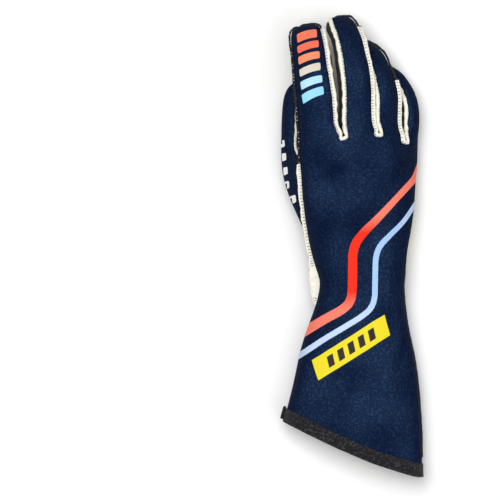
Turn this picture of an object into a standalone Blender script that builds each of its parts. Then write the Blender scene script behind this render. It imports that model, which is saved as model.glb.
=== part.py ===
"""Right-hand racing glove, palm down on a table: a hollow shell of sewn panels with outside seams.

Metres, +Z up, fingers along +Y, little finger at +X. Run it with
blender --background --python part.py, or from Blender's text editor.

One skin is worked out first: a sleeve from hem to knuckles, four fingers and a thumb that branch
from it. The panels are cut out of that skin, given the thickness of the cloth and set apart by the
seam gap. Seam edges, hem tape, patch and label are then laid on the skin.
"""

import math
from collections import namedtuple

import bpy
from mathutils import Vector
from mathutils.bvhtree import BVHTree

# Lengths, from the hem at the little finger's side to the gaps between the fingers
CUFF_LENGTH = 0.169
HAND_LENGTH = 0.111
HEM_SLANT = 0.046  # how much shorter the cuff is at the thumb's side
HEM_CURVE = 1.3

# Widths across and depths through the sleeve
HEM_WIDTH = 0.114
HEM_DEPTH = 0.044
WRIST_WIDTH = 0.0695
WRIST_DEPTH = 0.042
KNUCKLE_WIDTH = 0.110
KNUCKLE_DEPTH = 0.029

# Cloth, tape and gaps
CLOTH = 0.0018
SEAM_GAP = 0.0003
TAPE = 0.0010
TAPE_HEIGHT = 0.0100
SEAM_EDGE_WIDTH = 0.0018
SEAM_EDGE_HEIGHT = 0.0030
WRIST_EDGE_HEIGHT = 0.0080
FLARE_START = 0.75  # stations where the seam edge's flare at the wrist starts and ends
FLARE_RISE = 0.12
FLARE_FADE = 0.20
FLARE_END = 1.12
THUMB_EDGE_HEIGHT = 0.0018
THUMB_EDGE_STAND_OFF = 0.0009  # clears the crease that the palm has beside the ball of the thumb
EDGE_START = 0.2  # share of its height that a flared seam edge starts with
TAB_HEIGHT = 0.0025
LAID_THICKNESS = 0.0006
SHARP_ANGLE = 40.0

# Shape of the sections
SLEEVE_SQUARENESS = 2.3
FINGER_SQUARENESS = 2.6
ULNAR_SEAM_TURN = 5.0  # degrees below the sleeve's right edge
ROUND_END_SQUARENESS = 2.2
SEAM_CORNER = 28.0  # degrees from a finger's side to its seams
SEAM_LEAN = 0.5  # 0 for a seam edge that stands straight up from the back, 1 for halfway out

# Where the thumb and fingers branch off
THUMB_CROTCH = 1.80  # station of the thumb's crotch, between wrist 1 and knuckles 2
THUMB_SEAM_AT_WRIST = 0.20  # shares of half the width
THUMB_SEAM_AT_CROTCH = -0.60
WEB_STEP = 0.013  # how much further the palm reaches between the fingers than the back does
KNUCKLE_BOW = 0.023
BOW_ENDS = (-0.5, 0.62)  # shares of half the width, past which the bow stays level
FINGER_EDGES = ((-1.0, -0.43), (-0.36, 0.05), (0.125, 0.49), (0.565, 1.0))

# Counts of the mesh
FINGER_COLUMNS = 4
WALL_COLUMNS = 3
THUMB_COLUMNS = 10
THUMB_SPAN = 4  # columns of the palm that the thumb's base takes up
PLEAT_SPLIT = 2  # columns of the palm cuff for each column of the thumb's base
PATH_STEPS = 200
LEAST_TRIM = 0.2  # below this a rim's corner has panel on both sides and stays where it is
LEAST_MITRE = 0.25

# Elastic gathers on the palm side of the cuff
PLEATS = 9
PLEAT_HEIGHT = 0.0018
PLEAT_ZIGZAG = 0.0035
PLEAT_REACH = 0.11
PLEAT_SIDE = 0.17  # share of the width over which the pleats fade in from a side seam
ELASTIC_PINCH = 0.0016
PINCH_REACH = 0.044
ELASTIC_LINES = (0.81, 0.93)  # shares of the cuff's length

# Patch on the back of the cuff, label on its palm side
PATCH_LENGTH = 0.0695
PATCH_HEIGHT = 0.0168
PATCH_LEAN = 0.0048
PATCH_TURN = 32.5
PATCH_CENTRE = (-0.0031, 0.1057)
LABEL_LENGTH = 0.0545
LABEL_HEIGHT = 0.0415
LABEL_TURN = 3.5
LABEL_CENTRE = (0.0130, 0.0775)
LAID_CELL = 0.0045

# along: from this end to the other. spread, fullness: 0 at the wrist's size, 1 at the hem's or the
# knuckles'. shift: share of the wrist's width. rise: the middle's height, a share of the wrist's
# depth. arch, roll: degrees.
Section = namedtuple("Section", "along spread fullness shift rise arch roll")
CUFF_SECTIONS = (
    Section(0.00, 1.00, 1.00, -0.016, 0.50, 0.0, 0.0),
    Section(0.27, 0.79, 0.90, 0.039, 0.50, 0.0, 1.0),
    Section(0.53, 0.54, 0.60, 0.059, 0.51, 0.0, 2.0),
    Section(0.75, 0.16, 0.25, 0.079, 0.53, 2.0, 3.0),
    Section(0.91, 0.00, 0.00, 0.087, 0.56, 6.0, 4.0),
    Section(1.00, 0.09, 0.05, 0.078, 0.60, 9.0, 5.0),
)
HAND_SECTIONS = (
    Section(0.00, 0.09, 0.05, 0.078, 0.60, 9.0, 5.0),
    Section(0.16, 0.28, 0.25, 0.052, 0.66, 18.0, 8.0),
    Section(0.44, 0.60, 0.60, 0.063, 0.80, 34.0, 14.0),
    Section(0.72, 0.82, 0.90, 0.085, 0.94, 48.0, 20.0),
    Section(1.00, 1.00, 1.00, 0.112, 1.03, 56.0, 25.0),
)

# Index finger first. length: from the back's gap to the tip. width, depth: at the root. Angles in
# degrees: splay towards +X, pitch up, bends at the middle and end joints.
Finger = namedtuple("Finger", "length width depth splay pitch middle_bend end_bend")
FINGERS = (
    Finger(0.1020, 0.0310, 0.0220, -5.5, 4.0, 22.0, 16.0),
    Finger(0.1070, 0.0265, 0.0210, -2.5, 3.0, 24.0, 21.0),
    Finger(0.0960, 0.0228, 0.0195, -1.2, 1.0, 33.0, 29.0),
    Finger(0.0820, 0.0200, 0.0175, -1.5, 2.0, 36.0, 30.0),
)
MIDDLE_JOINT = 0.42
END_JOINT = 0.72
JOINT_REACH = 0.13
JOINT_BULGE = 0.04
FINGER_TAPER = 0.88
FINGER_TIP = 0.42  # share of the width left at the tip's seam
FINGER_ROUND = 0.16  # share of the length that the round end takes up
FINGER_LIFT = 0.0025  # how far its middle lies above the hand's
ROOT_BLEND = 0.014
SLIP_FADE = 0.040  # the way over which a branch loses the slant of its root
FINGER_ROWS = (0.0, 0.035, 0.08, 0.14, 0.24, 0.36, 0.48, 0.60, 0.72, 0.83, 0.91, 0.965, 1.0)

THUMB_LENGTH = 0.066
THUMB_WIDTH = 0.033
THUMB_DEPTH = 0.026
THUMB_ROOT_CENTRE = (-0.0480, 0.0165)  # x and z at its crotch
THUMB_TIP_CENTRE = (-0.0465, 0.0120)
THUMB_FACING = 208.0  # degrees in XZ, the way that its outer panel looks
THUMB_WRAP = 118.0  # degrees to each side of that, to its seams
THUMB_TAPER = 0.86
THUMB_TIP = 0.45
THUMB_ROUND = 0.28
BALL_FULLNESS = 0.6  # towards 0 the ball of the thumb fills its panel to the seams
THUMB_ROWS = (0.0, 0.06, 0.15, 0.28, 0.44, 0.60, 0.75, 0.87, 0.95, 1.0)

CUFF_ROWS = (0.0, 0.09, 0.22, 0.36, 0.50, 0.62, 0.71, 0.76, 0.81, 0.86, 0.90, 0.93, 0.965, 1.0)
HAND_ROWS = (1.0, 1.10, 1.22, 1.36, 1.50, 1.65, THUMB_CROTCH, 1.87, 1.94, 2.0)

COLOURS = {
    "navy": (0.020, 0.045, 0.120, 1.0),
    "black": (0.022, 0.020, 0.020, 1.0),
    "tape": (0.045, 0.043, 0.050, 1.0),
    "cream": (0.80, 0.77, 0.66, 1.0),
    "yellow": (0.90, 0.78, 0.02, 1.0),
    "white": (0.85, 0.85, 0.84, 1.0),
}


def ease(value):
    """0 below 0, 1 above 1, smooth between."""
    value = min(max(value, 0.0), 1.0)
    return value * value * (3.0 - 2.0 * value)


def mix(first, second, share):
    return first + (second - first) * share


def curve_at(rows, along):
    """The section at a place between the rows, on a smooth curve through them."""
    last = len(rows) - 2
    n = min(max(sum(row.along <= along for row in rows) - 1, 0), last)
    one, two = rows[n], rows[n + 1]
    before, after = rows[max(n - 1, 0)], rows[min(n + 2, last + 1)]
    span = two.along - one.along
    t = (along - one.along) / span
    values = []
    for a, b, c, d in zip(before, one, two, after):
        slope_in = (c - a) * span / (two.along - before.along)
        slope_out = (d - b) * span / (after.along - one.along)
        value = (2 * t**3 - 3 * t**2 + 1) * b + (3 * t**2 - 2 * t**3) * c
        value += (t**3 - 2 * t**2 + t) * slope_in + (t**3 - t**2) * slope_out
        values.append(value)
    return Section(*values)


def oval(angle, half_width, half_depth, squareness):
    """A point of a rounded oval, at an angle in degrees from its right end."""
    c, s = math.cos(math.radians(angle)), math.sin(math.radians(angle))
    power = 2.0 / squareness
    across = math.copysign(abs(c) ** power, c) * half_width
    return across, math.copysign(abs(s) ** power, s) * half_depth


def edge_angle(share):
    """The angle at which the sleeve's oval is that share of its half width across."""
    return math.degrees(math.acos(math.copysign(abs(share) ** (SLEEVE_SQUARENESS / 2.0), share)))


def steps_between(first, last, count):
    """Values from the first up to the last, without the last."""
    return [mix(first, last, n / count) for n in range(count)]


def column_angles(below):
    """Angles of the sleeve's columns across the back, or below it across the palm."""
    angles = []
    for n, (left, right) in enumerate(FINGER_EDGES):
        start, end = edge_angle(left), edge_angle(right)
        if n == len(FINGER_EDGES) - 1:
            end = ULNAR_SEAM_TURN if below else -ULNAR_SEAM_TURN
        angles += steps_between(start, end, FINGER_COLUMNS) + [end]
    return [-angle for angle in angles] if below else angles


def palm_angles(station):
    """The palm's column angles, which let the thumb's seam run across to the wrist."""
    knuckles = column_angles(below=True)
    own, end = knuckles[THUMB_SPAN], knuckles[-1]
    share = ease((station - 1.0) / (THUMB_CROTCH - 1.0))
    seam = -edge_angle(mix(THUMB_SEAM_AT_WRIST, THUMB_SEAM_AT_CROTCH, share))
    seam = mix(seam, own, ease((station - THUMB_CROTCH) / (2.0 - THUMB_CROTCH)))
    radial = [mix(-180.0, seam, (a + 180.0) / (own + 180.0)) for a in knuckles[:THUMB_SPAN]]
    return radial + [mix(seam, end, (a - own) / (end - own)) for a in knuckles[THUMB_SPAN:]]


class Sleeve:
    """The sleeve's cross-section at a station: 0 at the hem, 1 at the wrist, 2 at the knuckles."""

    def __init__(self, station):
        self.station = station
        if station <= 1.0:
            section = curve_at(CUFF_SECTIONS, station)
            width, depth = HEM_WIDTH, HEM_DEPTH
            self.y = CUFF_LENGTH * station
        else:
            section = curve_at(HAND_SECTIONS, station - 1.0)
            width, depth = KNUCKLE_WIDTH, KNUCKLE_DEPTH
            self.y = CUFF_LENGTH + HAND_LENGTH * (station - 1.0)
        self.width = mix(WRIST_WIDTH, width, section.spread)
        self.depth = mix(WRIST_DEPTH, depth, section.fullness)
        self.x = WRIST_WIDTH * section.shift
        self.z = WRIST_DEPTH * section.rise
        self.roll = math.radians(section.roll)
        self.bend = math.radians(max(section.arch, 0.01)) / self.width

    def tilt(self, across):
        return self.roll + self.bend * across

    def spine(self, across):
        """The middle of the hand, bent over its arch, at a distance across from the centre."""
        dx = (math.sin(self.tilt(across)) - math.sin(self.roll)) / self.bend
        dz = (math.cos(self.tilt(across)) - math.cos(self.roll)) / self.bend
        return self.x + dx, self.z + dz

    def point(self, angle):
        """The skin at an angle round the section, 180 at the thumb's side and 90 on top."""
        across, out = oval(angle, self.width / 2, self.depth / 2, SLEEVE_SQUARENESS)
        x, z = self.spine(across)
        x += out * math.sin(self.tilt(across))
        z += out * math.cos(self.tilt(across))
        return Vector((x, self.y + self.y_shift(angle, across), z))

    def y_shift(self, angle, across):
        """The hem's slant below the wrist, the knuckles' bow and the web's step above it."""
        share = across / self.width
        if self.station <= 1.0:
            return (1.0 - self.station) * HEM_SLANT * (0.5 - share) ** HEM_CURVE
        under = (1.0 - math.sin(math.radians(angle))) / 2.0
        low, high = BOW_ENDS
        bow = KNUCKLE_BOW * min(max(2.0 * share, low), high) ** 2
        return ease(self.station - 1.0) * (WEB_STEP * under - bow)


class Branch:
    """A tube that leaves the sleeve: it gives the place on its skin at a row and an angle."""

    def close(self, share, start):
        """Share of the depth left towards the round end."""
        end = max((share - 1.0 + start) / start, 0.0)
        return math.sqrt(max(1.0 - end**ROUND_END_SQUARENESS, 0.0))


class FingerTube(Branch):
    """One finger's path and cross-sections, from its root on the knuckle section."""

    rows = FINGER_ROWS

    def __init__(self, number):
        self.size = FINGERS[number]
        knuckles = Sleeve(2.0)
        across = sum(FINGER_EDGES[number]) / 2.0 * knuckles.width / 2.0
        tilt = knuckles.tilt(across)
        x, z = knuckles.spine(across)
        self.up = Vector((math.sin(tilt), 0.0, math.cos(tilt)))
        level = Vector((math.cos(tilt), 0.0, -math.sin(tilt)))
        splay = math.radians(self.size.splay)
        self.ahead = Vector((0.0, math.cos(splay), 0.0)) + level * math.sin(splay)
        self.side = self.ahead.cross(self.up).normalized()
        root = Vector((x, knuckles.y + knuckles.y_shift(90.0, across), z))
        self.path = self.follow(root + self.up * FINGER_LIFT)
        first, last = number == 0, number == len(FINGERS) - 1
        self.left = 180.0 if first else 180.0 - SEAM_CORNER
        self.right = -ULNAR_SEAM_TURN if last else SEAM_CORNER

    def pitch(self, share):
        """Degrees that the finger points below its root's plane, at a share of its length."""
        middle = self.size.middle_bend * ease((share - MIDDLE_JOINT) / JOINT_REACH + 0.5)
        end = self.size.end_bend * ease((share - END_JOINT) / JOINT_REACH + 0.5)
        return -self.size.pitch + middle + end

    def follow(self, start):
        """Places and directions at the rows, walked in short steps."""
        wanted = [round(row * PATH_STEPS) for row in self.rows]
        found, place = {}, start.copy()
        for n in range(PATH_STEPS + 1):
            angle = math.radians(self.pitch(n / PATH_STEPS))
            ahead = self.ahead * math.cos(angle) - self.up * math.sin(angle)
            found[n] = (place.copy(), ahead)
            place = place + ahead * (self.size.length / PATH_STEPS)
        return [found[n] for n in wanted]

    def start(self):
        return self.path[0][0]

    def travel(self, row):
        return self.path[row][0] - self.path[0][0]

    def point(self, row, angle):
        share = self.rows[row]
        close = self.close(share, FINGER_ROUND)
        bulge = JOINT_BULGE * math.exp(-(((share - MIDDLE_JOINT) / JOINT_REACH) ** 2))
        girth = mix(1.0, FINGER_TAPER, share) + bulge
        half_width = self.size.width / 2 * girth * mix(FINGER_TIP, 1.0, close)
        half_depth = self.size.depth / 2 * girth * close
        across, out = oval(angle, half_width, half_depth, FINGER_SQUARENESS)
        place, ahead = self.path[row]
        return place + self.side * across + self.side.cross(ahead) * out


class ThumbTube(Branch):
    """The thumb's cross-sections, from its crotch to its tip; turn 0 faces out, then palmwards."""

    rows = THUMB_ROWS
    ahead = Vector((0.0, 1.0, 0.0))

    def start(self):
        return Vector((THUMB_ROOT_CENTRE[0], Sleeve(THUMB_CROTCH).y, THUMB_ROOT_CENTRE[1]))

    def travel(self, row):
        return self.ahead * (THUMB_LENGTH * self.rows[row])

    def point(self, row, turn, y=None):
        share = self.rows[row]
        close = self.close(share, THUMB_ROUND)
        girth = mix(1.0, THUMB_TAPER, share)
        half_width = THUMB_WIDTH / 2 * girth * mix(THUMB_TIP, 1.0, close)
        across, away = oval(90.0 - turn, half_width, THUMB_DEPTH / 2 * girth * close, 2.0)
        facing = math.radians(THUMB_FACING)
        out = Vector((math.cos(facing), 0.0, math.sin(facing)))
        side = Vector((-math.sin(facing), 0.0, math.cos(facing)))
        x = mix(THUMB_ROOT_CENTRE[0], THUMB_TIP_CENTRE[0], share)
        z = mix(THUMB_ROOT_CENTRE[1], THUMB_TIP_CENTRE[1], share)
        y = Sleeve(THUMB_CROTCH).y + THUMB_LENGTH * share if y is None else y
        return Vector((x, y, z)) + side * across + out * away


class Glove:
    """The glove's outer skin: points, faces named after their panels, and rows of points."""

    def __init__(self):
        self.points = []
        self.faces = []
        self.back = {}
        self.palm = {}
        self.thumb_base = {}
        self.cuff = {}
        self.fingers = []
        self.finger_tips = []
        self.make_sleeve()
        self.make_palm_cuff()
        self.make_fingers()
        self.make_thumb()
        self.normals = self.mean_normals()

    def add(self, point):
        """Adds a point, no lower than the table, or than the hem tape's thickness at the cuff."""
        above = ease((point.y - CUFF_LENGTH) / (HAND_LENGTH / 2.0))
        lowest = mix(TAPE + SEAM_GAP, 0.0, above)
        self.points.append(Vector((point.x, point.y, max(point.z, lowest))))
        return len(self.points) - 1

    def grid(self, panel, low, high):
        """Faces between two rows of points; points that two rows share close them to a fan."""
        for k in range(len(low) - 1):
            corners = list(dict.fromkeys([low[k], low[k + 1], high[k + 1], high[k]]))
            if len(corners) > 2:
                self.faces.append((panel, corners))

    def mean_normals(self):
        found = [Vector((0.0, 0.0, 0.0)) for _ in self.points]
        for _, corners in self.faces:
            normal = face_normal([self.points[c] for c in corners])
            for corner in corners:
                found[corner] += normal
        return [n.normalized() for n in found]

    def make_sleeve(self):
        """The back from hem to knuckles, the palm and the ball of the thumb above the wrist."""
        over = column_angles(below=False)
        last = len(over) - 1
        stations = CUFF_ROWS + HAND_ROWS[1:]
        for station in stations:
            section = Sleeve(station)
            self.back[station] = [self.add(section.point(angle)) for angle in over]
        for low, high in zip(stations, stations[1:]):
            self.grid("back_panel", self.back[low], self.back[high])
        for station in HAND_ROWS:
            self.palm[station] = self.palm_row(station, last)
            if station <= THUMB_CROTCH:
                self.thumb_base[station] = self.thumb_base_row(station)
        for low, high in zip(HAND_ROWS, HAND_ROWS[1:]):
            first = THUMB_SPAN if low < THUMB_CROTCH else 0
            lower, upper = self.palm[low][first:], self.palm[high][first:]
            self.grid("palm_panel", lower[::-1], upper[::-1])
            if high <= THUMB_CROTCH:
                self.grid("thumb_panel", self.thumb_base[low], self.thumb_base[high])

    def palm_row(self, station, last):
        """The palm's points at a station; below the crotch the thumb's columns stay empty."""
        section = Sleeve(station)
        angles = palm_angles(station)
        row = [self.back[station][0]]
        for n in range(1, last):
            if n < THUMB_SPAN and station < THUMB_CROTCH:
                row.append(None)
            else:
                row.append(self.add(self.palm_point(section, angles, n)))
        return row + [self.back[station][last]]

    def palm_point(self, section, angles, column):
        """The palm's skin; the thumb's web runs straight across and then meets it."""
        point = section.point(angles[column])
        if column >= THUMB_SPAN:
            return point
        web = section.point(180.0).lerp(section.point(angles[THUMB_SPAN]), column / THUMB_SPAN)
        leave = ease((section.station - THUMB_CROTCH) / (2.0 - THUMB_CROTCH))
        return Vector((web.x, point.y, web.z)).lerp(point, leave)

    def thumb_base_row(self, station):
        """The thumb panel round the ball of the thumb, from the palm's seam to the back's."""
        section = Sleeve(station)
        start, end = self.palm[station][THUMB_SPAN], self.back[station][0]
        seam_angle = palm_angles(station)[THUMB_SPAN]
        grown = ease((station - 1.0) / (THUMB_CROTCH - 1.0))
        tube = ThumbTube()
        ids = [start]
        for n in range(1, THUMB_COLUMNS):
            share = n / THUMB_COLUMNS
            y = mix(self.points[start].y, self.points[end].y, share)
            flat = section.point(mix(seam_angle, -180.0, share))
            ball = tube.point(0, mix(THUMB_WRAP, -THUMB_WRAP, share), y)
            ids.append(self.add(flat.lerp(ball, grown * math.sin(math.pi * share) ** BALL_FULLNESS)))
        return ids + [end]

    def make_palm_cuff(self):
        """The palm side of the cuff, gathered by two elastics."""
        wrist = palm_angles(1.0)[THUMB_SPAN:]
        angles = steps_between(-180.0, wrist[0], THUMB_COLUMNS * PLEAT_SPLIT) + wrist
        for station in CUFF_ROWS[:-1]:
            section = Sleeve(station)
            row = [self.add(self.gathered(section, angle)) for angle in angles[1:-1]]
            self.cuff[station] = [self.back[station][0]] + row + [self.back[station][-1]]
        base = self.thumb_base[HAND_ROWS[0]][::-1]
        split = [self.on_line(base, n) for n in range(THUMB_COLUMNS * PLEAT_SPLIT)]
        self.cuff[CUFF_ROWS[-1]] = split + self.palm[HAND_ROWS[0]][THUMB_SPAN:]
        for low, high in zip(CUFF_ROWS, CUFF_ROWS[1:]):
            self.grid("palm_cuff", self.cuff[low][::-1], self.cuff[high][::-1])

    def on_line(self, line, n):
        """A point of the wrist seam, straight between its neighbours where a column is split."""
        whole, part = divmod(n, PLEAT_SPLIT)
        if part == 0:
            return line[whole]
        first, second = self.points[line[whole]], self.points[line[whole + 1]]
        return self.add(first.lerp(second, part / PLEAT_SPLIT))

    def gathered(self, section, angle):
        """The palm cuff's skin with its pleats, which fade away from the elastics."""
        point = section.point(angle)
        share = oval(angle, 0.5, 0.5, SLEEVE_SQUARENESS)[0] + 0.5
        out = (point - Vector((section.x, point.y, section.z))).normalized()
        wave = math.cos(2.0 * math.pi * PLEATS * share) / 2.0
        sides = min(1.0, min(share, 1.0 - share) / PLEAT_SIDE)
        near = min(abs(section.station - line) for line in ELASTIC_LINES)
        pleated = ease(1.0 - near / PLEAT_REACH) * sides
        pinched = ease(1.0 - near / PINCH_REACH) * sides
        point += out * (PLEAT_HEIGHT * wave * pleated - ELASTIC_PINCH * pinched)
        point.y += PLEAT_ZIGZAG * wave * pleated
        return point

    def make_fingers(self):
        step = FINGER_COLUMNS + 1
        count = len(FINGERS)
        walls = {}
        for n in range(count):
            first, last = n * step, n * step + FINGER_COLUMNS
            if n > 0:
                walls[n, "left"] = self.web_chain(first)
            if n < count - 1:
                walls[n, "right"] = self.web_chain(last)
        for n in range(1, count):
            self.grid(f"sidewall_{n}", walls[n, "left"], walls[n - 1, "right"])
        for n in range(count):
            span = slice(n * step, n * step + step)
            back, palm = self.back[HAND_ROWS[-1]][span], self.palm[HAND_ROWS[-1]][span][::-1]
            right = walls.get((n, "right"), [back[-1]])
            left = walls.get((n, "left"), [back[0]])[::-1]
            tube = FingerTube(n)
            loops = [{"back": back, "right": right, "palm": palm, "left": left}]
            for row in range(1, len(FINGER_ROWS) - 1):
                loops.append(self.finger_loop(tube, row, loops[0]))
            self.fingers.append(loops)
            self.finger_tips.append(self.tip_row(tube, FINGER_COLUMNS, 180.0, 0.0))
            self.cover_finger(n)

    def web_chain(self, column):
        """The points down the side of a gap between two fingers, from the back to the palm."""
        top, bottom = self.back[HAND_ROWS[-1]][column], self.palm[HAND_ROWS[-1]][column]
        first, last = self.points[top], self.points[bottom]
        inner = [self.add(first.lerp(last, n / WALL_COLUMNS)) for n in range(1, WALL_COLUMNS)]
        return [top] + inner + [bottom]

    def place(self, tube, row, angle, root):
        """A point on a branch; near its root the outline still has the root's shape and slant."""
        start = self.points[root]
        reach = tube.travel(row)
        slip = (start - tube.start()).dot(tube.ahead) * (1.0 - ease(reach.length / SLIP_FADE))
        target = tube.point(row, angle) + tube.ahead * slip
        return self.add((start + reach).lerp(target, ease(reach.length / ROOT_BLEND)))

    def finger_loop(self, tube, row, root):
        """One loop of a finger in four parts that share their end points."""
        left, right = tube.left, tube.right
        corners = {
            "back": (left, right, FINGER_COLUMNS),
            "right": (right, -abs(right), WALL_COLUMNS),
            "palm": (-abs(right), -left, FINGER_COLUMNS),
            "left": (-left, left - 360.0, WALL_COLUMNS),
        }
        loop = {}
        before = None
        for part, (start, end, count) in corners.items():
            if len(root[part]) == 1:
                loop[part] = [before]
                continue
            ids = [before] if before is not None else [self.place(tube, row, start, root[part][0])]
            for k in range(1, count):
                ids.append(self.place(tube, row, mix(start, end, k / count), root[part][k]))
            closes = part == "left" or (part == "palm" and len(root["left"]) == 1)
            ids.append(loop["back"][0] if closes else self.place(tube, row, end, root[part][count]))
            loop[part] = ids
            before = ids[-1]
        return loop

    def tip_row(self, tube, count, first, last):
        """The seam across a tip, where the panels of a finger or the thumb meet."""
        row = len(tube.rows) - 1
        return [self.add(tube.point(row, mix(first, last, k / count))) for k in range(count + 1)]

    def cover_finger(self, n):
        loops, tip = self.fingers[n], self.finger_tips[n]
        ends = {
            "back": tip,
            "right": [tip[-1]] * (WALL_COLUMNS + 1),
            "palm": tip[::-1],
            "left": [tip[0]] * (WALL_COLUMNS + 1),
        }
        names = {
            "back": "back_panel",
            "right": f"sidewall_{n + 1}",
            "palm": "palm_panel",
            "left": f"sidewall_{n}",
        }
        for low, high in zip(loops, loops[1:] + [ends]):
            for part, panel in names.items():
                self.grid(panel, low[part], high[part])

    def make_thumb(self):
        tube = ThumbTube()
        outer = self.thumb_base[THUMB_CROTCH]
        inner = self.palm[THUMB_CROTCH][: THUMB_SPAN + 1]
        rest = 2.0 * (180.0 - THUMB_WRAP)
        self.thumb_loops = [(outer, inner)]
        for row in range(1, len(THUMB_ROWS) - 1):
            out_row, in_row = [], []
            for k, root in enumerate(outer):
                turn = mix(THUMB_WRAP, -THUMB_WRAP, k / THUMB_COLUMNS)
                out_row.append(self.place(tube, row, turn, root))
            for k in range(1, THUMB_SPAN):
                turn = -THUMB_WRAP - rest * k / THUMB_SPAN
                in_row.append(self.place(tube, row, turn, inner[k]))
            self.thumb_loops.append((out_row, [out_row[-1]] + in_row + [out_row[0]]))
        for low, high in zip(self.thumb_loops, self.thumb_loops[1:]):
            self.grid("thumb_panel", low[0], high[0])
            self.grid("thumb_inner", low[1], high[1])
        self.thumb_tip = self.tip_row(tube, THUMB_COLUMNS, 90.0, -90.0)
        last_out, last_in = self.thumb_loops[-1]
        self.grid("thumb_panel", last_out, self.thumb_tip)
        picks = [round(k * THUMB_COLUMNS / THUMB_SPAN) for k in range(THUMB_SPAN + 1)]
        for k in range(THUMB_SPAN):
            edge = self.thumb_tip[::-1][picks[k] : picks[k + 1] + 1]
            self.faces.append(("thumb_inner", [last_in[k], last_in[k + 1]] + edge[::-1]))


def face_normal(points):
    """The face's normal, of length 1."""
    total = Vector((0.0, 0.0, 0.0))
    for n, point in enumerate(points):
        total += point.cross(points[(n + 1) % len(points)])
    return total.normalized()


def panel_solid(glove, panel):
    """A panel of the skin, trimmed by half the seam gap all round and as thick as the cloth."""
    faces = [corners for name, corners in glove.faces if name == panel]
    edges = {}
    for corners in faces:
        normal = face_normal([glove.points[c] for c in corners])
        for a, b in zip(corners, corners[1:] + corners[:1]):
            edges[a, b] = normal.cross(glove.points[b] - glove.points[a]).normalized()
    rim = [edge for edge in edges if edge[::-1] not in edges]
    inward = {}
    for a, b in rim:
        for end in (a, b):
            inward.setdefault(end, []).append(edges[a, b])
    used = sorted({corner for corners in faces for corner in corners})
    place = {corner: n for n, corner in enumerate(used)}
    outer, inner = [], []
    for corner in used:
        point, normal = glove.points[corner], glove.normals[corner]
        if corner in inward:
            point = point + trim(inward[corner], normal)
        outer.append(point)
        inner.append(point - normal * CLOTH)
    count = len(used)
    solid = [[place[c] for c in corners] for corners in faces]
    solid += [[place[c] + count for c in reversed(corners)] for corners in faces]
    for a, b in rim:
        above, below = (place[a], place[b]), (place[a] + count, place[b] + count)
        if a < b:
            solid += [[above[1], above[0], below[1]], [above[0], below[0], below[1]]]
        else:
            solid += [[above[1], above[0], below[0]], [above[1], below[0], below[1]]]
    return outer + inner, solid


def trim(directions, normal):
    """The step that moves a rim's corner half the seam gap into its panel from each side."""
    flat = [(d - normal * d.dot(normal)).normalized() for d in directions]
    total = sum(flat, Vector((0.0, 0.0, 0.0)))
    if total.length < LEAST_TRIM:
        return Vector((0.0, 0.0, 0.0))
    middle = total.normalized()
    return middle * (SEAM_GAP / 2.0 / max(middle.dot(flat[0]), LEAST_MITRE))


def swept(stations):
    """A bar whose cross-sections are closed loops of as many points, with both ends closed."""
    size = len(stations[0])
    points = [point for station in stations for point in station]
    faces = []
    for n in range(len(stations) - 1):
        for k in range(size):
            a, b = n * size + k, n * size + (k + 1) % size
            faces.append([a, b, b + size, a + size])
    faces.append(list(reversed(range(size))))
    faces.append(list(range(len(points) - size, len(points))))
    return points, faces


def seam_edge(glove, path, heights, stand_off=SEAM_GAP, upright=None):
    """The two raw edges of a seam as one bar, which stands on the skin along a path of points."""
    stations = []
    for n, corner in enumerate(path):
        before, after = path[max(n - 1, 0)], path[min(n + 1, len(path) - 1)]
        along = (glove.points[after] - glove.points[before]).normalized()
        out = glove.normals[corner]
        if upright is not None:
            out = (out * SEAM_LEAN + upright[n] * (1.0 - SEAM_LEAN)).normalized()
        out = (out - along * out.dot(along)).normalized()
        side = along.cross(out) * (SEAM_EDGE_WIDTH / 2.0)
        foot = glove.points[corner] + out * stand_off
        if n in (0, len(path) - 1):
            foot += along * (SEAM_GAP if n == 0 else -SEAM_GAP)
        head = foot + out * heights[n]
        stations.append([foot + side, foot - side, head - side, head + side])
    return swept(stations)


def back_up(glove, corner):
    """The mean normal of the back panel's faces round a point of its edge."""
    total = Vector((0.0, 0.0, 0.0))
    for panel, corners in glove.faces:
        if panel == "back_panel" and corner in corners:
            total += face_normal([glove.points[c] for c in corners])
    return total.normalized()


def gap_edge(glove, n):
    """The seam edge from one fingertip down round a gap and up to the next fingertip."""
    down = [loop["back"][-1] for loop in reversed(glove.fingers[n - 1])]
    rise = [loop["back"][0] for loop in glove.fingers[n]]
    path = glove.finger_tips[n - 1][1:] + down + rise
    upright = [back_up(glove, corner) for corner in path]
    return seam_edge(glove, path, [SEAM_EDGE_HEIGHT] * len(path), upright=upright)


def radial_edge(glove):
    """The seam edge from below the wrist, where it flares, up the index finger's outer side."""
    stations = [s for s in CUFF_ROWS + HAND_ROWS[1:] if s > FLARE_START]
    path = [glove.back[s][0] for s in stations]
    path += [loop["back"][0] for loop in glove.fingers[0][1:]] + [glove.finger_tips[0][0]]
    heights = []
    for s in stations:
        flare = mix(SEAM_EDGE_HEIGHT, WRIST_EDGE_HEIGHT, ease((FLARE_END - s) / FLARE_FADE))
        heights.append(flare * mix(EDGE_START, 1.0, ease((s - FLARE_START) / FLARE_RISE)))
    heights += [SEAM_EDGE_HEIGHT] * (len(path) - len(heights))
    return seam_edge(glove, path, heights)


def thumb_edge(glove):
    """The seam edge from the wrist up the palm, round the thumb's tip and down to its crotch."""
    path = [glove.palm[s][THUMB_SPAN] for s in HAND_ROWS if s < THUMB_CROTCH]
    path += [outer[0] for outer, _ in glove.thumb_loops] + glove.thumb_tip
    path += [outer[-1] for outer, _ in reversed(glove.thumb_loops[1:])]
    return seam_edge(glove, path, [THUMB_EDGE_HEIGHT] * len(path), THUMB_EDGE_STAND_OFF)


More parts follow.
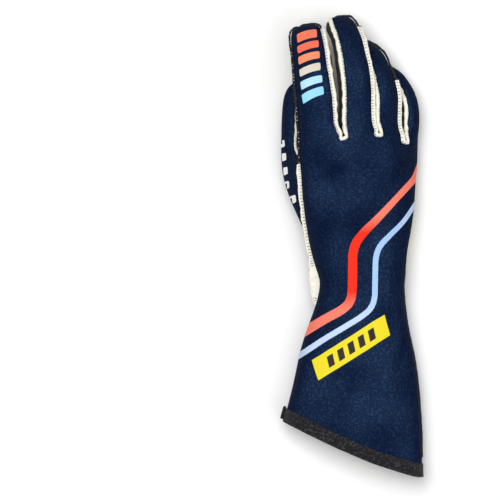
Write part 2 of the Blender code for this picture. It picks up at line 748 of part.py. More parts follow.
def hem_tab(glove):
    """The end of the cuff's side seam, which stands out beyond the hem tape."""
    path = [glove.back[CUFF_ROWS[0]][0], glove.back[CUFF_ROWS[1]][0]]
    return seam_edge(glove, path, [TAB_HEIGHT] * 2, stand_off=TAPE + 2.0 * SEAM_GAP)


def hem_binding(glove):
    """Tape folded over the hem, all the way round."""
    first, second = CUFF_ROWS[:2]
    rims = glove.back[first] + glove.cuff[first][-2:0:-1]
    uppers = glove.back[second] + glove.cuff[second][-2:0:-1]
    near, far = SEAM_GAP, SEAM_GAP + TAPE
    profile = (
        (TAPE_HEIGHT, near),
        (TAPE_HEIGHT, far),
        (-far, far),
        (-far, -CLOTH - far),
        (TAPE_HEIGHT, -CLOTH - far),
        (TAPE_HEIGHT, -CLOTH - near),
        (-near, -CLOTH - near),
        (-near, near),
    )
    points, faces = [], []
    for rim, upper in zip(rims, uppers):
        base, out = glove.points[rim], glove.normals[rim]
        up = glove.points[upper] - base
        up = (up - out * up.dot(out)).normalized()
        points += [base + up * along + out * away for along, away in profile]
    size, count = len(profile), len(rims)
    for n in range(count):
        here, there = n * size, (n + 1) % count * size
        for k in range(size):
            after = (k + 1) % size
            faces.append([here + k, here + after, there + after, there + k])
    return points, faces


def laid_piece(tree, centre, turn, length, height, lean, below=False):
    """A flat piece laid on the cuff, on its palm side if below."""
    angle = math.radians(turn)
    way = -1.0 if below else 1.0
    columns, rows = math.ceil(length / LAID_CELL), math.ceil(height / LAID_CELL)
    low, high = [], []
    for row in range(rows + 1):
        for column in range(columns + 1):
            v = row / rows - 0.5
            u = (column / columns - 0.5) * length + lean * v
            x = centre[0] + u * math.cos(angle) - v * height * math.sin(angle)
            y = centre[1] + u * math.sin(angle) + v * height * math.cos(angle)
            hit, normal, _, _ = tree.ray_cast(Vector((x, y, way)), Vector((0.0, 0.0, -way)))
            normal = normal * math.copysign(1.0, normal.z * way)
            low.append(hit + normal * SEAM_GAP)
            high.append(hit + normal * (SEAM_GAP + LAID_THICKNESS))
    points, count = low + high, len(low)
    width = columns + 1
    faces = []
    for row in range(rows):
        for column in range(columns):
            a = row * width + column
            faces.append([a + width, a + width + 1, a + 1, a])
            faces.append([a + count, a + 1 + count, a + width + 1 + count, a + width + count])
    rim = list(range(width)) + [row * width + columns for row in range(1, rows + 1)]
    rim += [rows * width + column for column in range(columns - 1, -1, -1)]
    rim += [row * width for row in range(rows - 1, 0, -1)]
    for a, b in zip(rim, rim[1:] + rim[:1]):
        faces.append([a, b, b + count, a + count])
    if below:
        faces = [face[::-1] for face in faces]
    return points, faces


def make_pieces(glove):
    """Every piece's name, colour, points and faces."""
    tree = BVHTree.FromPolygons(glove.points, [corners for _, corners in glove.faces])
    walls = [f"sidewall_{n}" for n in range(1, len(FINGERS))]
    colours = dict.fromkeys(["palm_panel", "thumb_inner"] + walls, "black")
    colours.update(dict.fromkeys(["back_panel", "thumb_panel", "palm_cuff"], "navy"))
    pieces = [(name, colour, *panel_solid(glove, name)) for name, colour in colours.items()]
    for n in range(1, len(FINGERS)):
        pieces.append((f"seam_edge_{n}", "cream", *gap_edge(glove, n)))
    pieces.append(("radial_seam_edge", "cream", *radial_edge(glove)))
    pieces.append(("thumb_seam_edge", "cream", *thumb_edge(glove)))
    pieces.append(("hem_tab", "tape", *hem_tab(glove)))
    pieces.append(("hem_binding", "tape", *hem_binding(glove)))
    patch = laid_piece(tree, PATCH_CENTRE, PATCH_TURN, PATCH_LENGTH, PATCH_HEIGHT, PATCH_LEAN)
    label = laid_piece(tree, LABEL_CENTRE, LABEL_TURN, LABEL_LENGTH, LABEL_HEIGHT, 0.0, below=True)
    pieces.append(("cuff_patch", "yellow", *patch))
    pieces.append(("palm_label", "white", *label))
    return pieces


def make_material(name, colour):
    material = bpy.data.materials.new(name)
    material.use_nodes = True
    shader = material.node_tree.nodes["Principled BSDF"]
    shader.inputs["Base Color"].default_value = colour
    shader.inputs["Roughness"].default_value = 0.8
    shader.inputs["Metallic"].default_value = 0.0
    material.diffuse_color = colour
    return material


def make_object(name, points, faces, material, parent):
    mesh = bpy.data.meshes.new(name)
    mesh.from_pydata(points, [], faces)
    mesh.materials.append(material)
    mesh.shade_smooth()
    mesh.set_sharp_from_angle(angle=math.radians(SHARP_ANGLE))
    piece = bpy.data.objects.new(name, mesh)
    piece.parent = parent
    bpy.context.scene.collection.objects.link(piece)


def main():
    for old in list(bpy.data.objects):
        bpy.data.objects.remove(old)
    pieces = make_pieces(Glove())
    corners = [point for piece in pieces for point in piece[2]]
    low = [min(point[axis] for point in corners) for axis in range(3)]
    high = [max(point[axis] for point in corners) for axis in range(3)]
    holder = bpy.data.objects.new("racing_glove", None)
    holder.location = (-(low[0] + high[0]) / 2.0, -(low[1] + high[1]) / 2.0, -low[2])
    bpy.context.scene.collection.objects.link(holder)
    materials = {name: make_material(name, colour) for name, colour in COLOURS.items()}
    for name, colour, points, faces in pieces:
        make_object(name, points, faces, materials[colour], holder)
    bpy.context.view_layer.update()


main()
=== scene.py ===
"""Looks of a right-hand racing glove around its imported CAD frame: cloth, seams, prints and studio.

Metres, +Z up, fingers along +Y, little finger at +X. Each operator makes one piece or one group of
like pieces, and main() calls them in order.
"""

import math
import random
from collections import namedtuple
from itertools import groupby, repeat

import bmesh
import bpy
import numpy
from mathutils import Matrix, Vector, noise
from mathutils.bvhtree import BVHTree
from mathutils.kdtree import KDTree


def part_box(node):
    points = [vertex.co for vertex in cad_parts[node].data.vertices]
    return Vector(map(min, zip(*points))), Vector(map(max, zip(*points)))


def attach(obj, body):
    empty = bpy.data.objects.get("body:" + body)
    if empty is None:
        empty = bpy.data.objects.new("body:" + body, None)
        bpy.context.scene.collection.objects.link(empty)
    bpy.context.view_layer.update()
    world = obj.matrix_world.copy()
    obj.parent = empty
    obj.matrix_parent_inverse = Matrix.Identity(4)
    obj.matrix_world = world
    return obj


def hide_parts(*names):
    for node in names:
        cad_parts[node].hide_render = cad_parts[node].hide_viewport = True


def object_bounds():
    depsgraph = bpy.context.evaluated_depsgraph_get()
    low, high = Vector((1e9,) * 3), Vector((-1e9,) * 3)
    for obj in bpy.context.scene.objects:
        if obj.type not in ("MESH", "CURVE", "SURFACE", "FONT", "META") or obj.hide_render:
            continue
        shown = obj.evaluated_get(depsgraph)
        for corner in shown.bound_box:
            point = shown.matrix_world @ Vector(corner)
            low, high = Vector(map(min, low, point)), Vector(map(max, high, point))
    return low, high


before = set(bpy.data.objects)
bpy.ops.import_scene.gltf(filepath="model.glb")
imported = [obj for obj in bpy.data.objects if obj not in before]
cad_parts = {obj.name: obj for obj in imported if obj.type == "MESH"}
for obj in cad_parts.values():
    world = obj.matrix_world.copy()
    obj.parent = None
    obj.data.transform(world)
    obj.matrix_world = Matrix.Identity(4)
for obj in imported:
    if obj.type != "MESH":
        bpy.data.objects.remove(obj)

bl_info = {
    "name": "Racing glove looks",
    "version": (1, 0, 0),
    "blender": (4, 5, 0),
    "location": "3D View > Sidebar > Glove",
    "description": "Makes the cloth, seams, prints and studio of the racing glove",
    "category": "Object",
}

CAD_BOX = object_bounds()
WRIST_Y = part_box("palm_cuff")[1][1]
SEAM_EDGES = ("seam_edge_1", "seam_edge_2", "seam_edge_3", "radial_seam_edge", "thumb_seam_edge")
NAVY_PANELS = ("back_panel", "thumb_panel", "palm_cuff")
SUEDE_PANELS = ("palm_panel", "thumb_inner", "sidewall_1", "sidewall_2", "sidewall_3")
UP = Vector((0, 0, 1))
RAY_START = 0.5  # how far off the glove the rays over the plan start

# Copies of the CAD meshes
MERGE = 0.00001
QUAD_ANGLE = math.radians(60)
RIM_ANGLE = math.radians(50)
SUBDIVISIONS = 2

# Relief of the cloth: wide and fine noise, and where the back and the underside begin
WIDE_DENTS = (0.022, 0.03, 0.022)
FINE_DENTS = (0.008, 0.011, 0.008)
FINE_SHIFT = Vector((7, 3, 1))
NOISE_SHIFTS = ((9.3, -1.5, -8), (0, 0, 0), (6.3, 11.2, -3))
WIDE_DEPTH = 0.0006
FINE_DEPTH = 0.00016
BACK_Z = 0.022
UNDERSIDE_Z = 0.024
TURNING = 0.01  # over this height the sides turn into the back or the underside
TABLE_GAP = 0.0001
FOLD_REACH = 9

# Puckers round the two elastics on the palm side of the cuff
ELASTIC_Y = (-0.033, -0.0547)
PUCKER = 0.001
PUCKER_LENGTH = 0.006
PUCKER_REACH = 0.0085
PUCKER_DRIFT = 0.012

# Lining inside the cuff: up to a y, on faces that look at a wall farther off than a seam
LINED_TO = 0.02
LINING_CLEARANCE = 0.006
SKIP_SELF = 0.0016

# Side panels between the fingers, which belly out into the gaps away from their seams
SLICE = 0.008  # the gap's middle is found in slices of this width across Y
LINE_STEP = 0.002  # from point to point along rims and stripes
WALL_BELLY = 0.01
WALL_SEAM_REACH = 0.007
GAP_SHARE = 0.86

# Raw seam edges; each is dark where it lies left of an x and past a y
INDEX_SIDE_Y = 0.066  # past this the seam at the index finger's side has a dark edge
DARK_FROM = {
    "radial_seam_edge": (1, INDEX_SIDE_Y),
    "seam_edge_1": (-0.025, 0.1765),
    "seam_edge_2": (1, 0.179),
    "seam_edge_3": (1, 0.1355),
}
NARROW_EDGES = ("radial_seam_edge", "thumb_seam_edge")
NARROW_EDGE = 0.0022
EDGE_STEP = 0.0009
EDGE_FADE = 4  # steps over which an edge rises at its ends
EDGE_SINK = 0.0002
EDGE_SWAY = 0.001
EDGE_FRAYS = 0.0011
FRAY = 0.00016
FLARE_FROM = 0.005  # an edge taller than this is the flare, which has no stitches
# An edge's cross-section: across in half widths, up in heights
EDGE_PROFILE = (
    (-1, 0), (-1.05, 0.45), (-0.85, 0.82), (-0.3, 1),
    (0.3, 1), (0.85, 0.82), (1.05, 0.45), (1, 0),
)

# Beads, flecks and stitches
BEAD_STEP = 0.0013
BEAD_LUMPS = 0.0016
FLECK_CHANCE = 0.33
FLECK_JITTER = 0.0005
HEM_REACH = 0.014
CUFF_BEAD_OUT = Vector((-0.0007, 0, 0.001))
ZIGZAGS = 46
ZIGZAG_X = (318, 409)
ZIGZAG_ROWS = ((284, 287), (311, 313))
ZIGZAG_HEIGHT = 3
# A thread's girths at shares of its length
ROD = ((0, 0.45), (0.2, 1), (0.8, 1), (1, 0.45))
ROD_SIDES = 5
BEAD_SIDES = 6

# Prints
PRINT_CORNER = 0.0008
PRINT_GAP = 0.00005
BAR_CELL = 0.0016
PALM_CELL = 0.002
FINGER_CELL = 0.0018
BAR_BOW = 0.001
STRIPE_BLUR = 0.00012
STRIPES_TO = 0.09  # past this y the back has no stripe
INDEX_INKS = (
    (0.9, 0.19, 0.1), (0.92, 0.16, 0.085), (0.88, 0.26, 0.13),
    (0.66, 0.61, 0.51), (0.4, 0.68, 0.82), (0.26, 0.62, 0.84),
)
PATCH_INK = (0.016, 0.012, 0.008)
LABEL_INK = (0.25, 0.25, 0.27)

# Scales of the fine textures, in cells to the metre
GRAIN = 900
FLECKS = 560
NAP = 1500
FIBRES = 1700
STRANDS = 2600
FLUFF = 480

# Plan positions are read off a plan of the glove in grid units of 0.82 mm
PLAN_UNIT = 0.00082
PLAN_X = 351.9
PLAN_Y = 245.25

RED_STRIPE = (
    (424, 158), (419.2, 168.3), (415, 178.3), (406.7, 187.5), (393.3, 201.7), (376.7, 219.2),
    (363.3, 232.5), (355.5, 243.3), (352.7, 253.3), (352.4, 266.7), (352.2, 283.3), (351.6, 294),
    (349, 302.5), (341, 310), (325, 319), (312, 327), (300, 335),
)
BLUE_STRIPE = (
    (424, 190), (418, 200), (413.3, 207.5), (403.3, 221.7), (390, 235), (380, 245.8),
    (375.8, 256.7), (375, 270), (374.7, 286.7), (374.2, 298), (370.5, 308), (361, 316.5),
    (345, 326.5), (325, 338.5), (305, 352), (296, 358),
)

# Dents and folds of the back, in plan units: middle, turn in degrees, length, width, height in mm
FOLDS = (
    (333, 172, 20, 22, 10, -0.9), (368, 166, -10, 16, 9, -0.7), (398, 172, 60, 20, 9, -0.8),
    (350, 158, 0, 14, 8, 0.5), (384, 162, 0, 12, 8, 0.5), (330, 300, 70, 30, 8, 0.6),
    (385, 385, 82, 60, 9, 0.9), (405, 345, 75, 45, 8, -0.8), (345, 400, 60, 60, 12, -0.9),
    (320, 385, 65, 40, 9, 0.7), (346, 92, 65, 22, 7, -0.6), (362, 80, 80, 30, 7, 0.4),
    (308, 118, 80, 26, 8, -0.4), (384, 110, 60, 22, 6, -0.5), (330, 215, 80, 60, 14, -0.5),
    (395, 280, 85, 40, 8, -0.5),
)

# Four corners of each bar or grip in plan units, from its near left corner round to its far left
THUMB_BARS = (
    ((272.5, 150), (285, 146.5), (284.5, 139.5), (272.5, 143.5)),
    ((273.5, 164), (286.5, 160), (286, 152.5), (273, 156.5)),
    ((275, 178), (288, 174), (287.5, 166.5), (274.5, 170.5)),
    ((277, 192), (289.5, 188), (289, 180.5), (276, 184.5)),
    ((286.5, 206), (296.5, 202), (295.5, 194.5), (284.5, 198.5)),
)
INDEX_BARS = (
    ((297.5, 44.2), (316.7, 38.3), (316.3, 30.3), (296.7, 35.3)),
    ((298, 55), (318.3, 48.3), (318, 41.4), (297, 47.8)),
    ((298.7, 66.3), (319.3, 59.5), (319, 52.4), (298, 58.5)),
    ((300, 78.5), (320, 71.5), (319.7, 63.9), (299, 71.2)),
    ((301.3, 91.5), (321.8, 83.7), (321.3, 76.5), (300, 83.5)),
    ((303, 105.3), (323.3, 95.5), (322.5, 87.5), (301.3, 96.1)),
)
PALM_GRIPS = (
    ((354, 153), (408.5, 167.2), (410, 149), (356, 140)),
    ((352.7, 176.5), (408.5, 196.5), (409.2, 174.5), (353, 157.5)),
    ((371, 221), (397.5, 254.8), (409.3, 255.3), (410, 215)),
    ((361, 198.5), (366, 213), (409, 212), (361, 197)),
)
# The row of grips on each finger's front: the finger's up, how many grips, how wide, the shares of
# the finger's length between which they lie, and the finger's middle line in mm
FingerRow = namedtuple("FingerRow", "up count width start end line")
FINGER_GRIPS = (
    FingerRow((0.087, 0, 0.996), 6, 0.014, 0.5, 0.95, (
        (-27.3, 84.7, 55.9), (-29.4, 109.1, 57.8), (-31.8, 133.2, 57.5), (-34.7, 156.3, 49.9),
        (-37.2, 172.5, 39.5), (-38.3, 180, 34.5),
    )),
    FingerRow((0.353, 0, 0.936), 6, 0.014, 0.56, 0.95, (
        (3.3, 89.9, 48.9), (2.8, 115.6, 50.6), (1.3, 140.9, 49.9), (-3, 164.7, 41.2),
        (-8.3, 180.1, 29.1), (-10.9, 187.3, 23.2),
    )),
    FingerRow((0.554, 0, 0.833), 6, 0.013, 0.53, 0.92, (
        (26.4, 88.3, 37.1), (26.3, 111.4, 37.7), (24.4, 133.8, 35.7), (17, 153, 25.4),
        (8.3, 162.4, 12.6), (4, 166.6, 6.3),
    )),
    FingerRow((0.73, 0, 0.683), 5, 0.0115, 0.5, 0.86, (
        (46.8, 81.7, 19.9), (46.9, 101.3, 20.7), (45, 120.4, 19.6), (36.4, 136.4, 12.1),
        (26.2, 143.8, 2.9), (21.3, 147, -1.6),
    )),
)
GRIP_SHARE = 0.68  # of the way from one finger grip to the next
GRIP_SLANT = 0.022
FRONT_REACH = 0.016  # from a finger's middle line to clear of its front
MM = 0.001

# Name, place, size and share of the key's power of each lamp
LAMPS = (("key", (-0.35, 0.4, 1.9), 1.3, 1), ("fill", (0.7, -0.6, 1.6), 1.5, 0.35))
TABLE_SIZE = 12
TABLE_DROP = 0.0003
TABLE_SHADES = ((0.925, 0.925, 0.925), (0.94, 0.94, 0.94))


def plan(x, y):
    """A point of the plan in metres of the frame."""
    return (x - PLAN_X) * PLAN_UNIT, (PLAN_Y - y) * PLAN_UNIT


def colour(name, description, default):
    return bpy.props.FloatVectorProperty(
        name=name, description=description, default=default, size=3, min=0, max=1,
        subtype="COLOR",
    )


def amount(name, description, default, **units):
    return bpy.props.FloatProperty(
        name=name, description=description, default=default, min=0, **units
    )


def length(name, description, default):
    return amount(name, description, default, subtype="DISTANCE", unit="LENGTH", precision=5)


class GloveColours(bpy.types.PropertyGroup):
    """Colours of the cloths, threads and prints."""

    navy: colour("Navy", "Face cloth of the back, the thumb and the cuff", (0.0006, 0.0045, 0.024))
    fleck: colour("Fleck", "Lighter yarns in the navy cloth", (0.02, 0.048, 0.115))
    suede: colour("Suede", "Palm, finger fronts and finger sides", (0.01, 0.0095, 0.01))
    cream: colour("Cream", "Raw edges of the lining", (0.93, 0.9, 0.79))
    tape: colour("Tape", "Woven tape over the hem", (0.004, 0.004, 0.006))
    thread: colour("Thread", "Dark sewing thread", (0.008, 0.009, 0.014))
    yellow: colour("Yellow", "Silicone grips and the cuff's patch", (0.82, 0.69, 0.012))
    white: colour("White", "Label and the prints on the thumb", (0.86, 0.86, 0.85))
    red: colour("Red", "Middle of the wide stripe", (0.95, 0.035, 0.015))
    # Salmon is the wide stripe's red with painted sheen, for its slanted ends.
    salmon: colour("Salmon", "Ends of the wide stripe", (0.95, 0.22, 0.15))
    pale_blue: colour("Pale blue", "Narrow stripe", (0.38, 0.58, 0.93))


class GloveSizes(bpy.types.PropertyGroup):
    """Sizes of the stripes, seams, stitches and prints."""

    red_width: length("Wide stripe", "Width of the red stripe", 0.0074)
    blue_width: length("Narrow stripe", "Width of the blue stripe", 0.0046)
    edge_width: length("Raw edge", "Width of a seam's raw edge", 0.0031)
    bead: length("Seam bead", "Radius of the overlocked bead on a flat seam", 0.0008)
    stitch: length("Stitch pitch", "Distance from one stitch to the next", 0.0019)
    thread: length("Thread", "Radius of the sewing thread", 0.00028)
    film: length("Print", "Thickness of a silicone print", 0.00035)
    knit: length("Knit", "Distance between the knit's courses", 0.0012)


class GloveStage(bpy.types.PropertyGroup):
    """Camera and lights."""

    camera_height: length("Camera height", "Height of the camera over the table", 4)
    field: length("Field", "Width of what the camera sees", 0.41)
    key_power: amount("Key light", "Power of the large light", 34, subtype="POWER", unit="POWER")
    world: amount("Room light", "Strength of the even light from all sides", 0.2)


def mix_number(first, second, share):
    return first + (second - first) * share


def ease(value):
    value = min(max(value, 0), 1)
    return value * value * (3 - 2 * value)


def tinted(shade, share, lift=0):
    """A colour times a share and lifted, no brighter than white."""
    return tuple(min(c * share + lift, 1) for c in shade)


def paler(shade, share, white=1):
    return tuple(mix_number(c, white, share) for c in shade)


class Value:
    """A value in a material, so that sums of values read like sums of numbers."""

    def __init__(self, look, socket):
        self.look = look
        self.socket = socket

    def __add__(self, other):
        return self.look.math("ADD", self, other)

    def __sub__(self, other):
        return self.look.math("SUBTRACT", self, other)

    def __mul__(self, other):
        return self.look.math("MULTIPLY", self, other)

    def __truediv__(self, other):
        return self.look.math("DIVIDE", self, other)

    def __abs__(self):
        return self.look.math("ABSOLUTE", self)


class Look:
    """A material in the making: its shader and the values that feed it."""

    def __init__(self, name, shade, roughness, sheen=0, gloss=0.25):
        self.material = bpy.data.materials.new(name)
        self.material.use_nodes = True
        self.material.diffuse_color = (*shade, 1)
        self.tree = self.material.node_tree
        self.shader = self.tree.nodes["Principled BSDF"]
        self.feed("Base Color", shade)
        self.feed("Roughness", roughness)
        self.feed("Sheen Weight", sheen)
        self.feed("Specular IOR Level", gloss)
        self.place = self.add("ShaderNodeTexCoord", "Object")

    def put(self, socket, value):
        if isinstance(value, Value):
            self.tree.links.new(value.socket, socket)
        else:
            socket.default_value = (*value, 1) if socket.type == "RGBA" else value

    def feed(self, name, value):
        self.put(self.shader.inputs[name], value)

    def add(self, kind, output, inputs=(), **settings):
        """Adds a node with its settings and inputs, and gives back one output."""
        node = self.tree.nodes.new(kind)
        for name, value in settings.items():
            setattr(node, name, value)
        for key, value in dict(inputs).items():
            self.put(node.inputs[key], value)
        return Value(self, node.outputs[output])

    def math(self, operation, first, second=0):
        return self.add("ShaderNodeMath", 0, {0: first, 1: second}, operation=operation)

    def noise(self, scale, detail=2):
        inputs = {"Vector": self.place, "Scale": scale, "Detail": detail}
        return self.add("ShaderNodeTexNoise", "Fac", inputs)

    def waves(self, direction, pitch, place):
        inputs = {"Vector": place, "Scale": math.pi / 10 / pitch}
        return self.add("ShaderNodeTexWave", "Fac", inputs, bands_direction=direction)

    def mix(self, share, first, second):
        return self.add("ShaderNodeMix", 2, {0: share, 6: first, 7: second}, data_type="RGBA")

    def step(self, value, low, high):
        """0 below low, 1 above high, even between."""
        inputs = {"Value": value, "From Min": low, "From Max": high}
        return self.add("ShaderNodeMapRange", 0, inputs, clamp=True)

    def attribute(self, name):
        return self.add("ShaderNodeAttribute", "Fac", attribute_name=name)

    def parts(self, place):
        """A place's X, Y and Z."""
        node = self.tree.nodes.new("ShaderNodeSeparateXYZ")
        self.put(node.inputs[0], place)
        return [Value(self, socket) for socket in node.outputs]

    def turned(self, centre, degrees):
        """Object coordinates from a centre in the plan, turned so that X runs along the piece."""
        shift = {"Vector": self.place, "Location": (-centre[0], -centre[1], 0)}
        turn = {
            "Vector": self.add("ShaderNodeMapping", 0, shift),
            "Rotation": (0, 0, -math.radians(degrees)),
        }
        return self.add("ShaderNodeMapping", 0, turn)

    def finish(self, shade, height, distance, strength):
        """Gives the shader its colour and its bumps, and gives back the material."""
        self.feed("Base Color", shade)
        inputs = {"Height": height, "Distance": distance, "Strength": strength}
        self.feed("Normal", self.add("ShaderNodeBump", "Normal", inputs))
        return self.material


def knit_cloth(name, colours, pitch, stripes=False):
    """A knitted face cloth with lighter flecks and painted shade; the back's copy also has the printed
    stripes.
    """
    look = Look(name, colours.navy, 0.88, sheen=0.01, gloss=0.06)
    look.feed("Sheen Roughness", 0.45)
    x, y, z = look.parts(look.place)
    place = look.add("ShaderNodeCombineXYZ", 0, {"X": x + z, "Y": y})
    loops = look.waves("X", pitch, place) * look.waves("Y", pitch * 0.8, place)
    flecks = look.step(look.noise(FLECKS, 3), 0.48, 0.66)
    patches = look.step(look.noise(26, 3), 0.35, 0.7)
    # Painted shade: the cloth turns paler, with more flecks showing, where it faces up and on raised
    # folds, and darker in the dents; random patches break it up.
    wear_and_painted_shade = look.attribute("wear_and_painted_shade") * (patches * 0.5 + 0.5)
    cloth = look.mix(wear_and_painted_shade * 0.36, colours.navy, colours.fleck)
    cloth = look.mix(flecks * (wear_and_painted_shade * 0.85 + 0.14), cloth, colours.fleck)
    cloth = look.mix(loops * 0.15, cloth, colours.fleck)
    if stripes:
        cloth = print_stripes(look, cloth)
    return look.finish(cloth, loops + flecks * 0.5, 0.00022, 0.8)


def print_stripes(look, cloth):
    """The two printed stripes, read from the piece's own distance attributes."""
    colours, sizes = bpy.context.scene.glove_colours, bpy.context.scene.glove_sizes
    grain = (look.noise(GRAIN) - 0.5) * 0.0006
    along = look.parts(look.place)[1]
    # The wide stripe turns salmon towards both of its slanted ends, away from its middle: painted sheen.
    # The narrow stripe turns paler there too.
    far = abs(along + 0.014)
    red = look.mix(look.step(far, 0.024, 0.038), colours.red, colours.salmon)
    pale = paler(colours.pale_blue, 0.35, 0.85)
    blue = look.mix(look.step(far, 0.024, 0.045), colours.pale_blue, pale)
    narrowing = look.step(along, 0.004, 0.035) * 0.38 + 1
    for attribute, width, ink in (
        ("red_stripe", sizes.red_width, red),
        ("blue_stripe", sizes.blue_width, blue),
    ):
        away = look.attribute(attribute) * narrowing + grain
        share = look.step(away, width / 2 + STRIPE_BLUR, width / 2 - STRIPE_BLUR)
        cloth = look.mix(share, cloth, ink)
    return cloth


def suede(name, shade):
    look = Look(name, shade, 0.92, sheen=0.06)
    look.feed("Sheen Roughness", 0.55)
    nap = look.noise(NAP)
    worn = look.step(look.noise(70, 4), 0.45, 0.75)
    lighter = tinted(shade, 2.6, 0.008)
    cloth = look.mix(look.step(nap, 0.45, 0.7) * 0.55, shade, lighter)
    return look.finish(look.mix(worn * 0.35, cloth, lighter), nap, 0.00018, 0.7)


def frayed_felt(name, shade):
    """The lining's raw edge: pale fibres with darker hollows."""
    look = Look(name, shade, 0.95, sheen=0.3)
    fibres = look.noise(FIBRES, 4)
    cloth = look.mix(look.step(fibres, 0.46, 0.3) * 0.65, shade, tinted(shade, 0.45))
    stain = look.step(look.noise(120), 0.45, 0.75)
    return look.finish(look.mix(stain * 0.2, cloth, tinted(shade, 0.7)), fibres, 0.0005, 1)


def woven_tape(name, shade):
    look = Look(name, shade, 0.8, sheen=0.04)
    turn = {"Vector": look.place, "Rotation": (0, 0, 0.9)}
    slanted = look.add("ShaderNodeMapping", 0, turn)
    weave = look.waves("X", 0.0016, slanted) * look.waves("Y", 0.0011, slanted)
    fluff = look.step(look.noise(FLUFF, 3), 0.52, 0.64)
    cloth = look.mix(weave * 0.2 + fluff * 0.5, shade, tinted(shade, 5, 0.055))
    return look.finish(cloth, weave, 0.0004, 1)


def twisted_thread(name, shade):
    look = Look(name, shade, 0.6, sheen=0.2)
    strands = look.noise(STRANDS)
    return look.finish(look.mix(strands, tinted(shade, 0.6), tinted(shade, 1.5)), strands, 0.0001, 0.8)


def printed_film(name, shade):
    """Silicone or ink on cloth, with the cloth's grain just showing through."""
    look = Look(name, shade, 0.42)
    grain = look.noise(GRAIN, 3)
    wear_and_painted_shade = look.step(look.noise(160, 3), 0.55, 0.8)
    look.feed("Roughness", look.step(grain, -0.3, 1.6))
    return look.finish(look.mix(wear_and_painted_shade * 0.6, shade, paler(shade, 0.16)), grain, 0.00016, 0.8)


def slotted_grip(name, shade, gap_shade):
    """A silicone grip in a brick lay with an upright dark slot in each brick."""
    look = Look(name, shade, 0.42)
    column, row = 0.0052, 0.004
    x, y, _ = look.parts(look.place)
    rows = y / row
    odd = look.math("MODULO", look.math("FLOOR", rows), 2) * 0.5
    across = abs(look.math("FRACT", x / column + odd) - 0.5)
    along = abs(look.math("FRACT", rows) - 0.5)
    slot = look.step(across, 0.19, 0.15) * look.step(along, 0.36, 0.31)
    grain = look.noise(GRAIN, 3)
    skin = look.mix(look.step(grain, 0.45, 0.8), shade, paler(shade, 0.2))
    return look.finish(look.mix(slot, skin, gap_shade), grain * 0.2 - slot, 0.0003, 0.9)


def barred_patch(name, shade, ink, centre, degrees, long, high):
    """A coloured patch with plain slanted bars, in place of its words."""
    look = Look(name, shade, 0.55)
    place = look.turned(centre, degrees)
    u, v, _ = look.parts(place)
    slanted = u - v * 0.35
    turn = look.math("FRACT", slanted / (long / 7) + 0.5)
    bar = look.step(abs(turn - 0.5), 0.3, 0.27) * look.step(abs(v), high * 0.27, high * 0.25)
    bar = bar * look.step(abs(slanted), long * 0.37, long * 0.365)
    twill = look.waves("DIAGONAL", 0.0006, place)
    cloth = look.mix(twill * 0.25, shade, tinted(shade, 0.8))
    return look.finish(look.mix(bar, cloth, ink), twill, 0.00012, 0.6)


def ruled_label(name, shade, ink, centre, degrees, long, high):
    """White woven label with a thin ruled frame and two rules, and no words."""
    look = Look(name, shade, 0.5, sheen=0.2)
    place = look.turned(centre, degrees)
    inset, line = 0.0035, 0.00022
    u, v = (abs(part) for part in look.parts(place)[:2])
    edge = look.math("MAXIMUM", u - (long / 2 - inset), v - (high / 2 - inset))
    frame_line = look.step(abs(edge), line * 1.5, line)
    rule = look.step(abs(v - high / 6.5), line * 1.5, line) * look.step(edge, 0, -line)
    satin = look.waves("X", 0.0007, place)
    cloth = look.mix(satin * 0.2, shade, tinted(shade, 0.85))
    return look.finish(look.mix(look.math("MAXIMUM", frame_line, rule), cloth, ink), satin, 0.0001, 0.6)


def noise_vector(point):
    """Noise with three parts, the same in every run, which Blender's own isn't."""
    return Vector([noise.noise(point + Vector(shift)) for shift in NOISE_SHIFTS])


def relief(point):
    """Where the cloth's dents and folds put a point of the glove."""
    wide = noise_vector(Vector([a / b for a, b in zip(point, WIDE_DENTS)]))
    fine = noise_vector(Vector([a / b for a, b in zip(point, FINE_DENTS)]) + FINE_SHIFT)
    moved = point + wide * WIDE_DEPTH + fine * FINE_DEPTH
    up = ease((point.z - BACK_Z) / TURNING)
    if up > 0:
        moved.z += up * fold_at(point.x, point.y) * MM
    low = ease((UNDERSIDE_Z - point.z) / TURNING)
    near = min(abs(point.y - line) for line in ELASTIC_Y)
    if low > 0 and near < 3 * PUCKER_REACH:
        drift = 2 * noise.noise(point / PUCKER_DRIFT)
        wave = math.sin(2 * math.pi * point.x / PUCKER_LENGTH + drift)
        moved.z += low * PUCKER * wave * math.exp(-((near / PUCKER_REACH) ** 2))
    moved.z = max(moved.z, TABLE_GAP)
    return moved


def fold_at(x, y):
    """The height of the back's dents and folds over a point of the table, in mm."""
    total = 0
    for fold_x, fold_y, degrees, long, wide, high in FOLDS:
        middle_x, middle_y = plan(fold_x, fold_y)
        turn = math.radians(degrees)
        dx, dy = x - middle_x, y - middle_y
        along = (dx * math.cos(turn) + dy * math.sin(turn)) / (long * PLAN_UNIT / 2)
        across = (-dx * math.sin(turn) + dy * math.cos(turn)) / (wide * PLAN_UNIT / 2)
        reach = along * along + across * across
        if reach < FOLD_REACH:
            total += high * math.exp(-reach)
    return total


def mark_painted_shade(piece):
    """Marks painted shade on the face cloth: paler on what faces up and on raised folds, darker in the
    dents, with soft random tone.
    """
    values = []
    for vertex in piece.data.vertices:
        up = ease((vertex.normal.z - 0.7) / 0.3)
        soft = noise.noise(vertex.co / 0.028)
        value = 0.06 + 0.6 * up * (1 + 1.5 * soft) + 0.45 * fold_at(vertex.co.x, vertex.co.y)
        values.append(min(max(value, 0), 1))
    mark(piece, "wear_and_painted_shade", values)


def mark(piece, name, values):
    """Gives each vertex of a piece a value that its material reads."""
    piece.data.attributes.new(name, "FLOAT", "POINT").data.foreach_set("value", values)


